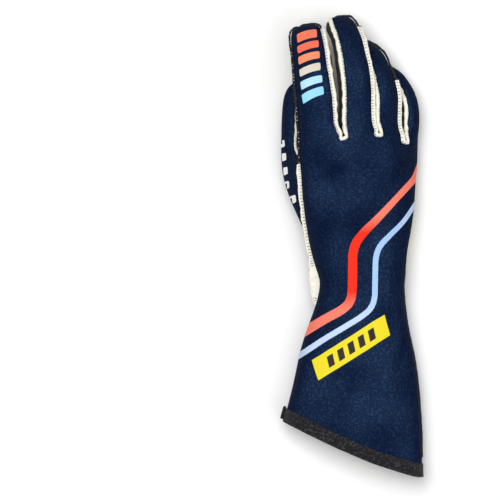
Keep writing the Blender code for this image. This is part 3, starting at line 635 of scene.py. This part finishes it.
def line_inside(piece, lining, tree):
    """Gives the lining to the cuff's faces that look at its opposite wall."""
    piece.data.materials.append(lining)
    for face in piece.data.polygons:
        if face.center.y < LINED_TO:
            distance = tree.ray_cast(face.center + face.normal * SKIP_SELF, face.normal)[3]
            face.material_index = int(distance is not None and distance > LINING_CLEARANCE)


def belly_out(piece, node):
    """Lets the side panels between two fingers belly out into the gap, away from their seams."""
    rim = [point for loop in rim_loops(node) for point in spline(loop, LINE_STEP)]
    slices = {}
    for point in rim:
        slices.setdefault(round(point.y / SLICE), []).append(point.x)
    numbers = sorted(slices)
    middles = [(min(slices[n]) + max(slices[n])) / 2 for n in numbers]
    tree = KDTree(len(rim))
    for n, point in enumerate(rim):
        tree.insert(point, n)
    tree.balance()
    for vertex in piece.data.vertices:
        gap = numpy.interp(vertex.co.y / SLICE, numbers, middles) - vertex.co.x
        away = ease(tree.find(vertex.co)[2] / WALL_SEAM_REACH)
        vertex.co.x += math.copysign(min(WALL_BELLY, GAP_SHARE * abs(gap)) * away, gap)


def select_only(piece):
    bpy.ops.object.select_all(action="DESELECT")
    piece.select_set(True)
    bpy.context.view_layer.objects.active = piece


def edit_all(piece, *steps):
    """Runs mesh tools, each with its settings, on all of a piece."""
    select_only(piece)
    bpy.ops.object.mode_set(mode="EDIT")
    bpy.ops.mesh.select_all(action="SELECT")
    for tool, settings in steps:
        tool(**settings)
    bpy.ops.object.mode_set(mode="OBJECT")


def copy_of(node, name):
    """A copy of a CAD node's mesh with its doubles merged and its triangles paired again."""
    piece = bpy.data.objects.new(name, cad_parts[node].data.copy())
    piece.data.name = name
    bpy.context.scene.collection.objects.link(piece)
    pairing = {"face_threshold": QUAD_ANGLE, "shape_threshold": math.pi}
    edit_all(
        piece,
        (bpy.ops.mesh.remove_doubles, {"threshold": MERGE}),
        (bpy.ops.mesh.tris_convert_to_quads, pairing),
    )
    bpy.ops.mesh.customdata_custom_splitnormals_clear()
    return piece


def is_rim(edge):
    return len(edge.link_faces) == 2 and edge.calc_face_angle() > RIM_ANGLE


def mark_creases(piece):
    mesh = bmesh.new()
    mesh.from_mesh(piece.data)
    layer = mesh.edges.layers.float.new("crease_edge")
    for edge in mesh.edges:
        if is_rim(edge):
            edge[layer] = 1
    mesh.to_mesh(piece.data)
    mesh.free()


def apply(piece, kind, **settings):
    """Adds a modifier with its settings and applies it."""
    select_only(piece)
    modifier = piece.modifiers.new(kind.lower(), kind)
    for name, value in settings.items():
        setattr(modifier, name, value)
    bpy.ops.object.modifier_apply(modifier=modifier.name)


def finish_piece(piece, material, slot, *nodes):
    """Gives a piece its material and its body, and hides the CAD nodes that it stands for. Its slot is
    not used.
    """
    piece.data.materials.clear()
    piece.data.materials.append(material)
    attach(piece, "root")
    if nodes:
        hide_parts(*nodes)


def smooth(piece, degrees=50):
    select_only(piece)
    bpy.ops.object.shade_smooth_by_angle(angle=math.radians(degrees))


def cloth_piece(node, name, material, slot):
    """A CAD node as soft cloth: finer, with rounded faces, folds and dents."""
    piece = copy_of(node, name)
    mark_creases(piece)
    apply(piece, "SUBSURF", levels=SUBDIVISIONS, render_levels=SUBDIVISIONS)
    for vertex in piece.data.vertices:
        vertex.co = relief(vertex.co)
    smooth(piece)
    finish_piece(piece, material, slot, node)
    return piece


def distance_to(line, x, y):
    """How far a point of the plan lies from a line of points."""
    best = 1
    for (ax, ay), (bx, by) in zip(line, line[1:]):
        dx, dy = bx - ax, by - ay
        share = ((x - ax) * dx + (y - ay) * dy) / (dx * dx + dy * dy)
        share = min(max(share, 0), 1)
        best = min(best, math.hypot(x - ax - dx * share, y - ay - dy * share))
    return best


def steps_between(start, end, step):
    return max(1, round((end - start).length / step))


def spline(points, step):
    """Points a step apart along a smooth curve through the given ones."""
    found = []
    for n in range(len(points) - 1):
        a, b = points[max(n - 1, 0)], points[n]
        c, d = points[n + 1], points[min(n + 2, len(points) - 1)]
        count = steps_between(b, c, step)
        for k in range(count):
            t = k / count
            found.append(
                ((2 * b) + (c - a) * t + (2 * a - 5 * b + 4 * c - d) * t**2
                 + (3 * b - a - 3 * c + d) * t**3) / 2
            )
    return found + [points[-1].copy()]


def spread(values, points, step):
    """Values of some points, evenly spread over the points that spline() puts between them."""
    found = []
    for n in range(len(points) - 1):
        count = steps_between(points[n], points[n + 1], step)
        found += [values[n].lerp(values[n + 1], k / count) for k in range(count)]
    return found + [values[-1]]


def ring_round(middle, ahead, side, radius, sides):
    """A round cross-section of a thread or bead."""
    up = ahead.cross(side)
    turns = (2 * math.pi * k / sides for k in range(sides))
    return [middle + (side * math.cos(a) + up * math.sin(a)) * radius for a in turns]


class Shell:
    """Points and faces that are gathered for one piece."""

    def __init__(self):
        self.points = []
        self.faces = []

    def sweep(self, sections):
        """Joins cross-sections of as many points each into a bar, with its ends closed."""
        first, size, count = len(self.points), len(sections[0]), len(sections)
        for section in sections:
            self.points += section
        for here in range(first, first + (count - 1) * size, size):
            for k in range(size):
                after = (k + 1) % size
                self.faces.append((here + k, here + after, here + size + after, here + size + k))
        self.faces.append(tuple(first + k for k in reversed(range(size))))
        self.faces.append(tuple(first + (count - 1) * size + k for k in range(size)))

    def rod(self, start, end, radius):
        """A short thread with tapered ends."""
        ahead = (end - start).normalized()
        side = ahead.orthogonal().normalized()
        self.sweep([
            ring_round(start.lerp(end, share), ahead, side, radius * girth, ROD_SIDES)
            for share, girth in ROD
        ])

    def bead(self, path, radius):
        """A round bead along a path, with a slightly uneven girth."""
        sections = []
        for n, point in enumerate(path):
            ahead = (path[min(n + 1, len(path) - 1)] - path[max(n - 1, 0)]).normalized()
            side = ahead.cross(UP)
            side = side.normalized() if side.length > 0.05 else ahead.orthogonal().normalized()
            girth = radius * (1 + 0.25 * noise.noise(point / BEAD_LUMPS))
            sections.append(ring_round(point, ahead, side, girth, BEAD_SIDES))
        self.sweep(sections)

    def make(self, name):
        mesh = bpy.data.meshes.new(name)
        mesh.from_pydata(self.points, [], self.faces)
        mesh.update()
        piece = bpy.data.objects.new(name, mesh)
        bpy.context.scene.collection.objects.link(piece)
        edit_all(piece, (bpy.ops.mesh.normals_make_consistent, {"inside": False}))
        smooth(piece, 60)
        return piece


def tree_of(*pieces):
    """One search tree of several pieces' meshes."""
    points, faces = [], []
    for piece in pieces:
        base = len(points)
        points += [v.co.copy() for v in piece.data.vertices]
        faces += [[base + k for k in face.vertices] for face in piece.data.polygons]
    return BVHTree.FromPolygons(points, faces)


def bar_rings(node, skin):
    """A CAD bar's cross-sections from end to end: two feet on the skin, then the two heads."""
    piece = copy_of(node, node + "_path")
    mesh = bmesh.new()
    mesh.from_mesh(piece.data)
    quads = [face for face in mesh.faces if len(face.verts) == 4]
    cap = min(quads, key=lambda face: sum(len(vert.link_edges) for vert in face.verts))
    ring, rings = list(cap.verts), []
    seen = set()
    while len(ring) == 4:
        seen.update(ring)
        rings.append([vert.co.copy() for vert in ring])
        after = []
        for vert in ring:
            ways = [edge for edge in vert.link_edges if edge.other_vert(vert) not in seen]
            if ways:
                after.append(max(ways, key=lambda edge: edge.calc_face_angle(0)).other_vert(vert))
        ring = after
    mesh.free()
    bpy.data.objects.remove(piece)
    away = [sum(skin.find_nearest(ring[k])[3] for ring in rings) for k in range(4)]
    first = min(range(4), key=lambda k: away[k] + away[(k + 1) % 4])
    return [[ring[(first + k) % 4] for k in range(4)] for ring in rings]


def rim_loops(node):
    """The sharp edges of a CAD node as closed loops of points, the longest first."""
    piece = copy_of(node, node + "_rim")
    mesh = bmesh.new()
    mesh.from_mesh(piece.data)
    sharp = {}
    for edge in mesh.edges:
        if is_rim(edge):
            for vert in edge.verts:
                sharp.setdefault(vert, []).append(edge.other_vert(vert))
    loops, seen = [], set()
    for start in sharp:
        if start in seen:
            continue
        loop, vert = [], start
        while vert is not None:
            seen.add(vert)
            loop.append(vert.co.copy())
            vert = next((other for other in sharp[vert] if other not in seen), None)
        loops.append(loop)
    mesh.free()
    bpy.data.objects.remove(piece)
    return sorted(loops, key=lambda loop: -sum((a - b).length for a, b in zip(loop, loop[1:])))


def runs_of(loop, wanted):
    """The stretches of a closed loop whose points are wanted, each in order."""
    start = next(n for n, point in enumerate(loop) if not wanted(point))
    turned = loop[start:] + loop[:start]
    runs = [list(run) for flag, run in groupby(turned, wanted) if flag]
    return [run for run in runs if len(run) > 2]


def aim_over(corners, way, bow=0):
    """A print's size from its four corners in the plan, and the rays that lay it on the cloth."""
    flat = [Vector((*plan(x, y), 0)) for x, y in corners]
    long = ((flat[1] - flat[0]).length + (flat[2] - flat[3]).length) / 2
    high = ((flat[3] - flat[0]).length + (flat[2] - flat[1]).length) / 2

    def aim(u, v):
        low, top = flat[0].lerp(flat[1], u), flat[3].lerp(flat[2], u)
        arch = (top - low).normalized() * bow * (1 - (2 * u - 1) ** 2)
        return low.lerp(top, v) + arch - way * RAY_START, way

    return long, high, aim


def aim_at_front(row, near, far):
    """A finger grip's size, and the rays that lay it on the finger's front between two shares."""
    line = spline([Vector(point) * MM for point in row.line], MM)
    last = len(line) - 2

    def aim(u, v):
        place = min(max(mix_number(near, far, v) + (u - 0.5) * GRIP_SLANT, 0), 1) * last
        n = int(place)
        ahead = (line[n + 1] - line[n]).normalized()
        side = ahead.cross(Vector(row.up)).normalized()
        up = side.cross(ahead)
        middle = line[n].lerp(line[n + 1], place - n)
        return middle + side * (u - 0.5) * row.width - up * FRONT_REACH, up

    return row.width, (far - near) * last * MM, aim


def laid_film(name, laid, tree, cell, thickness):
    """A thin print with rounded corners, laid on the cloth by rays."""
    long, high, aim = laid
    columns, rows = (max(4, math.ceil(side / cell)) for side in (long, high))
    bpy.ops.object.select_all(action="DESELECT")
    bpy.ops.mesh.primitive_grid_add(x_subdivisions=columns, y_subdivisions=rows, size=1)
    piece = bpy.context.view_layer.objects.active
    piece.name = piece.data.name = name
    corner = Vector((long / 2 - PRINT_CORNER, high / 2 - PRINT_CORNER))
    missed = []
    for vertex in piece.data.vertices:
        u, v = vertex.co.x * long, vertex.co.y * high
        past = Vector((abs(u) - corner.x, abs(v) - corner.y))
        if past.x > 0 and past.y > 0:
            past *= max(past) / past.length
            u = math.copysign(corner.x + past.x, u)
            v = math.copysign(corner.y + past.y, v)
        start, way = aim(u / long + 0.5, v / high + 0.5)
        hit, normal, _, _ = tree.ray_cast(start, way)
        if hit is None:
            missed.append(vertex.index)
            continue
        if normal.dot(way) > 0:
            normal.negate()
        vertex.co = hit + normal * PRINT_GAP
    if missed:
        mesh = bmesh.new()
        mesh.from_mesh(piece.data)
        mesh.verts.ensure_lookup_table()
        bmesh.ops.delete(mesh, geom=[mesh.verts[n] for n in missed], context="VERTS")
        mesh.to_mesh(piece.data)
        mesh.free()
    apply(piece, "SOLIDIFY", thickness=thickness, offset=1 if way.z < 0 else -1)
    edit_all(piece, (bpy.ops.mesh.normals_make_consistent, {"inside": False}))
    smooth(piece, 40)
    return piece


def lay_prints(name, prints, panel, cell, sizes, materials, slot):
    """Lays the prints of one kind on a panel's cloth, each in its own material."""
    tree = tree_of(bpy.data.objects[panel + "_cloth"])
    for n, (laid, material) in enumerate(zip(prints, materials), 1):
        piece = laid_film(f"{name}_{n}", laid, tree, cell, sizes.film)
        finish_piece(piece, material, slot)


class PieceMaker:
    """What the operators that make pieces share."""

    def execute(self, context):
        self.make(context.scene.glove_colours, context.scene.glove_sizes)
        return {"FINISHED"}


class GLOVE_OT_navy_panels(PieceMaker, bpy.types.Operator):
    """Make the navy cloth panels: back, thumb and palm side of the cuff"""

    bl_idname = "glove.navy_panels"
    bl_label = "Navy panels"

    def make(self, colours, sizes):
        plain = knit_cloth("navy_knit", colours, sizes.knit)
        striped = knit_cloth("striped_navy_knit", colours, sizes.knit, stripes=True)
        lining = frayed_felt("lining_felt", colours.cream)
        walls = tree_of(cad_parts["back_panel"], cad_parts["palm_cuff"])
        for node in NAVY_PANELS:
            material = striped if node == "back_panel" else plain
            piece = cloth_piece(node, node + "_cloth", material, "navy_cloth")
            mark_painted_shade(piece)
            if node == "back_panel":
                self.mark_stripes(piece)
            if node != "thumb_panel":
                line_inside(piece, lining, walls)

    def mark_stripes(self, piece):
        for name, line in (("red_stripe", RED_STRIPE), ("blue_stripe", BLUE_STRIPE)):
            points = spline([Vector((*plan(x, y), 0)) for x, y in line], LINE_STEP)
            flat = [(point.x, point.y) for point in points]
            mark(piece, name, [
                distance_to(flat, v.co.x, v.co.y) if v.co.y < STRIPES_TO else 1
                for v in piece.data.vertices
            ])


class GLOVE_OT_suede_panels(PieceMaker, bpy.types.Operator):
    """Make the dark suede panels: palm, finger fronts, finger sides and the inside of the thumb"""

    bl_idname = "glove.suede_panels"
    bl_label = "Suede panels"

    def make(self, colours, sizes):
        material = suede("black_suede", colours.suede)
        for node in SUEDE_PANELS:
            piece = cloth_piece(node, node + "_cloth", material, "black_suede")
            if node.startswith("sidewall"):
                belly_out(piece, node)


class GLOVE_OT_seam_edges(PieceMaker, bpy.types.Operator):
    """Make the raw seam edges of lining, with their overlock stitches"""

    bl_idname = "glove.seam_edges"
    bl_label = "Raw seam edges"

    def make(self, colours, sizes):
        felt = frayed_felt("cream_felt", colours.cream)
        thread = twisted_thread("dark_thread", colours.thread)
        pale = twisted_thread("pale_edge_thread", colours.cream)
        dark = suede("dark_edge_suede", colours.suede)
        skin = tree_of(*(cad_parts[node] for node in NAVY_PANELS + SUEDE_PANELS))
        stitches, flecks = Shell(), Shell()
        for node in SEAM_EDGES:
            edge = self.raw_edge(node, bar_rings(node, skin), stitches, flecks, sizes)
            piece = edge.make(node + "_felt")
            finish_piece(piece, felt, "cream_lining", node)
            if node in DARK_FROM:
                piece.data.materials.append(dark)
                for face in piece.data.polygons:
                    face.material_index = int(self.is_dark(node, face.center))
        finish_piece(stitches.make("seam_edge_stitches"), thread, "hem_tape")
        finish_piece(flecks.make("index_side_stitches"), pale, "cream_lining")

    def is_dark(self, node, point):
        x, y = DARK_FROM.get(node, (0, 1))
        return point.x < x and point.y > y

    def raw_edge(self, node, rings, stitches, flecks, sizes):
        """One frayed edge along the CAD bar's path, and the stitches on both of its sides."""
        middles = [(ring[0] + ring[1]) / 2 for ring in rings]
        outs = [(ring[2] + ring[3] - ring[0] - ring[1]) / 2 for ring in rings]
        sides = [ring[0] - ring[1] for ring in rings]
        feet = spline(middles, EDGE_STEP)
        outs, sides = (spread(values, middles, EDGE_STEP) for values in (outs, sides))
        wide = NARROW_EDGE if node in NARROW_EDGES else sizes.edge_width
        sections = []
        gone, next_stitch = 0, 0
        for n, (foot, out, side) in enumerate(zip(feet, outs, sides)):
            side, up = side.normalized(), out.normalized()
            end = min(n, len(feet) - 1 - n) / EDGE_FADE
            fade = 0.35 + 0.65 * ease(end)
            height = out.length * (1 + 0.16 * noise.noise(foot / 0.004)) * fade
            uneven = 1 + 0.3 * noise.noise(foot / 0.0035 + Vector((5, 0, 0)))
            half = wide / 2 * uneven * fade
            sway = side * EDGE_SWAY * noise.noise(foot / 0.005 + Vector((0, 9, 0)))
            if self.is_dark(node, foot):
                height, half = height * 0.55, half * 0.6
            base = foot - up * EDGE_SINK
            section = []
            for across, rise in EDGE_PROFILE:
                point = base + side * half * across + up * height * rise + sway * rise
                section.append(relief(point + noise_vector(point / EDGE_FRAYS) * FRAY * rise))
            sections.append(section)
            if n:
                gone += (foot - feet[n - 1]).length
            if gone >= next_stitch and end > 1 and out.length < FLARE_FROM:
                next_stitch = gone + sizes.stitch
                for way in (-1, 1):
                    low = base + side * half * way * 1.05 + up * height * 0.1
                    high = base + side * half * way * 0.9 + up * height * 0.72 + sway
                    pale = node == "radial_seam_edge" and foot.y > INDEX_SIDE_Y
                    if pale and noise.noise(low / 0.0023) > 0.05:
                        flecks.rod(relief(low), relief(high), sizes.thread * 0.8)
                    elif not pale:
                        stitches.rod(relief(low), relief(high), sizes.thread)
        edge = Shell()
        edge.sweep(sections)
        return edge


class GLOVE_OT_flat_seams(PieceMaker, bpy.types.Operator):
    """Make the overlocked beads on the flat seams, and the zigzag stitches of the elastics"""

    bl_idname = "glove.flat_seams"
    bl_label = "Flat seams"

    def make(self, colours, sizes):
        thread = twisted_thread("seam_thread", colours.thread)
        pale = twisted_thread("pale_thread", colours.cream)
        beads, flecks = Shell(), Shell()
        rng = random.Random(5)
        for node, wanted in (
            ("palm_cuff", lambda p: not self.on_hem(p)),
            ("palm_panel", lambda p: p.y > WRIST_Y + 0.002),
        ):
            for run in runs_of(rim_loops(node)[0], wanted):
                path = [self.stand_out(relief(point), node) for point in spline(run, BEAD_STEP)]
                beads.bead(path, sizes.bead)
                if node == "palm_panel":
                    for a, b in zip(path[1:], path[3:]):
                        if rng.random() < FLECK_CHANCE:
                            self.fleck(flecks, a, b, rng, sizes)
        finish_piece(beads.make("seam_beads"), thread, "hem_tape")
        finish_piece(flecks.make("seam_flecks"), pale, "cream_lining")
        finish_piece(self.zigzags(sizes), thread, "hem_tape")

    def stand_out(self, point, node):
        """Moves the bead of the cuff's seam at the thumb's side out and up, so that it shows."""
        if node == "palm_cuff" and point.x < 0:
            return point + CUFF_BEAD_OUT * ease((WRIST_Y - 0.004 - point.y) / 0.008)
        return point

    def on_hem(self, point):
        """Whether a point of the cuff's rim lies under the hem tape."""
        low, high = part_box("hem_tab")[0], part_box("hem_binding")[0]
        share = (point.x - CAD_BOX[0][0]) / (CAD_BOX[1][0] - CAD_BOX[0][0])
        return point.y < mix_number(low[1], high[1], min(max(share, 0), 1)) + HEM_REACH

    def fleck(self, flecks, start, end, rng, sizes):
        jitter = Vector([rng.uniform(-1, 1) for _ in range(3)]) * FLECK_JITTER
        flecks.rod(start + jitter, start.lerp(end, 0.7) - jitter, sizes.thread * 1.5)

    def zigzags(self, sizes):
        """Two rows of zigzag stitches over the elastics on the palm side of the wrist."""
        tree = tree_of(bpy.data.objects["palm_cuff_cloth"])
        rows = Shell()
        for start_y, end_y in ZIGZAG_ROWS:
            points = []
            for n in range(ZIGZAGS + 1):
                x = mix_number(*ZIGZAG_X, n / ZIGZAGS)
                y = mix_number(start_y, end_y, n / ZIGZAGS) + ZIGZAG_HEIGHT * (1 if n % 2 else -1)
                hit = tree.ray_cast(Vector((*plan(x, y), -RAY_START)), UP)[0]
                if hit:
                    points.append(hit - UP * 0.00015)
            for a, b in zip(points, points[1:]):
                rows.rod(a, b, sizes.thread * 1.2)
        return rows.make("elastic_stitches")


class GLOVE_OT_hem(PieceMaker, bpy.types.Operator):
    """Make the hem's tape with its row of stitches, and the tab at its end"""

    bl_idname = "glove.hem"
    bl_label = "Hem tape"

    def make(self, colours, sizes):
        tape = woven_tape("woven_tape", colours.tape)
        piece = cloth_piece("hem_binding", "hem_tape_woven", tape, "hem_tape")
        thread = twisted_thread("tape_thread", colours.thread)
        finish_piece(self.stitch_tape(piece, sizes), thread, "hem_tape")
        tab = copy_of("hem_tab", "hem_tab_overlocked")
        apply(tab, "BEVEL", width=0.0005, segments=2)
        apply(
            tab, "SUBSURF", levels=SUBDIVISIONS, render_levels=SUBDIVISIONS,
            subdivision_type="SIMPLE",
        )
        for vertex in tab.data.vertices:
            ragged = noise_vector(vertex.co / 0.0012) * 0.0003
            vertex.co = relief(vertex.co + ragged) + Vector((0.0006, 0, 0))
        smooth(tab)
        finish_piece(tab, tape, "hem_tape", "hem_tab")

    def stitch_tape(self, piece, sizes):
        """Stitches a fifth of the way from the tape's upper rim to its lower one."""
        loops = rim_loops("hem_binding")[:2]
        upper, lower = sorted(loops, key=lambda loop: -sum(p.y for p in loop) / len(loop))
        tree = tree_of(piece)
        path = []
        for point in upper:
            nearest = min(lower, key=lambda other: (other - point).length)
            path.append(point.lerp(nearest, 0.2))
        path = spline(path + path[:1], sizes.stitch * 0.7)
        stitches = Shell()
        for pair in zip(path[::2], path[1::2]):
            found = [tree.find_nearest(relief(point)) for point in pair]
            ends = [hit + normal * sizes.thread * 0.4 for hit, normal, _, _ in found]
            stitches.rod(*ends, sizes.thread)
        return stitches.make("hem_stitches")


class GLOVE_OT_finger_bars(PieceMaker, bpy.types.Operator):
    """Make the coloured bars on the back of the index finger and the white bars on the thumb"""

    bl_idname = "glove.finger_bars"
    bl_label = "Finger bars"

    def make(self, colours, sizes):
        inks = [printed_film(f"index_ink_{n}", ink) for n, ink in enumerate(INDEX_INKS, 1)]
        white = printed_film("white_ink", colours.white)
        bars = [aim_over(corners, -UP, BAR_BOW) for corners in INDEX_BARS]
        lay_prints("index_bar", bars, "back_panel", BAR_CELL, sizes, inks, "yellow_twill")
        bars = [aim_over(corners, -UP) for corners in THUMB_BARS]
        lay_prints("thumb_bar", bars, "thumb_panel", BAR_CELL, sizes, repeat(white), "white_satin")


class GLOVE_OT_grips(PieceMaker, bpy.types.Operator):
    """Make the silicone grips on the palm and on the finger fronts"""

    bl_idname = "glove.grips"
    bl_label = "Silicone grips"

    def make(self, colours, sizes):
        slotted = slotted_grip("slotted_silicone", colours.yellow, colours.suede)
        plain = printed_film("yellow_silicone", colours.yellow)
        grips = [aim_over(corners, UP) for corners in PALM_GRIPS]
        slotted, plain = repeat(slotted), repeat(plain)
        lay_prints("palm_grip", grips, "palm_panel", PALM_CELL, sizes, slotted, "yellow_twill")
        grips = []
        for row in FINGER_GRIPS:
            pitch = (row.end - row.start) / (row.count - 1 + GRIP_SHARE)
            starts = [row.start + pitch * n for n in range(row.count)]
            grips += [aim_at_front(row, near, near + pitch * GRIP_SHARE) for near in starts]
        lay_prints("finger_grip", grips, "palm_panel", FINGER_CELL, sizes, plain, "yellow_twill")


class GLOVE_OT_patches(PieceMaker, bpy.types.Operator):
    """Make the yellow patch on the cuff's back and the white label on its palm side"""

    bl_idname = "glove.patches"
    bl_label = "Patch and label"

    def make(self, colours, sizes):
        for node, slot, maker, shade, ink, turn, long, high in (
            ("cuff_patch", "yellow_twill", barred_patch, colours.yellow, PATCH_INK, 32.5, 0.0695, 0.0168),
            ("palm_label", "white_satin", ruled_label, colours.white, LABEL_INK, 3.5, 0.0545, 0.0415),
        ):
            near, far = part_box(node)
            centre = ((near[0] + far[0]) / 2, (near[1] + far[1]) / 2)
            material = maker(node + "_face", shade, ink, centre, turn, long, high)
            cloth_piece(node, node + "_sewn", material, slot)


class GLOVE_OT_stage(bpy.types.Operator):
    """Make the pale table, the lights and the camera"""

    bl_idname = "glove.stage"
    bl_label = "Studio"

    def execute(self, context):
        scene, stage = context.scene, context.scene.glove_stage
        bpy.ops.object.select_all(action="DESELECT")
        bpy.ops.mesh.primitive_plane_add(size=TABLE_SIZE, location=(0, 0, -TABLE_DROP))
        table = context.view_layer.objects.active
        table.name = "table"
        look = Look("pale_table", (0.93, 0.93, 0.93), 0.85)
        look.feed("Base Color", look.mix(look.noise(3), *TABLE_SHADES))
        table.data.materials.append(look.material)
        world = bpy.data.worlds.new("even_room")
        world.use_nodes = True
        background = world.node_tree.nodes["Background"].inputs
        background["Color"].default_value = (1, 1, 1, 1)
        background["Strength"].default_value = stage.world
        scene.world = world
        for name, place, size, share in LAMPS:
            bpy.ops.object.light_add(type="AREA", location=place)
            light = context.view_layer.objects.active
            light.name = name
            light.data.energy = stage.key_power * share
            light.data.size = size
            light.rotation_euler = (-Vector(place)).to_track_quat("-Z", "Y").to_euler()
        x, y = plan(250, 250)
        bpy.ops.object.camera_add(location=(x, y, stage.camera_height), rotation=(0, 0, 0))
        camera = context.view_layer.objects.active
        camera.data.sensor_width = 36
        height = stage.camera_height - CAD_BOX[1][2] / 2
        camera.data.lens = camera.data.sensor_width * height / stage.field
        scene.camera = camera
        scene.view_settings.view_transform = "Standard"
        return {"FINISHED"}


class GLOVE_PT_panel(bpy.types.Panel):
    """Lists the glove's pieces and their sizes and colours"""

    bl_idname = "GLOVE_PT_panel"
    bl_label = "Racing glove"
    bl_space_type = "VIEW_3D"
    bl_region_type = "UI"
    bl_category = "Glove"

    def draw(self, context):
        for step in STEPS:
            self.layout.operator(step.bl_idname)
        for name in GROUPS:
            group = getattr(context.scene, name)
            box = self.layout.box()
            for setting in group.__annotations__:
                box.prop(group, setting)


STEPS = (
    GLOVE_OT_navy_panels,
    GLOVE_OT_suede_panels,
    GLOVE_OT_seam_edges,
    GLOVE_OT_flat_seams,
    GLOVE_OT_hem,
    GLOVE_OT_finger_bars,
    GLOVE_OT_grips,
    GLOVE_OT_patches,
    GLOVE_OT_stage,
)
GROUPS = {"glove_colours": GloveColours, "glove_sizes": GloveSizes, "glove_stage": GloveStage}


def register():
    for group in GROUPS.values():
        bpy.utils.register_class(group)
    for name, group in GROUPS.items():
        setattr(bpy.types.Scene, name, bpy.props.PointerProperty(type=group))
    for step in STEPS + (GLOVE_PT_panel,):
        bpy.utils.register_class(step)


def unregister():
    for step in (GLOVE_PT_panel,) + STEPS[::-1]:
        bpy.utils.unregister_class(step)
    for name, group in GROUPS.items():
        delattr(bpy.types.Scene, name)
        bpy.utils.unregister_class(group)


def main():
    register()
    for step in STEPS:
        getattr(bpy.ops.glove, step.bl_idname.partition(".")[2])()


if __name__ == "__main__":
    main()
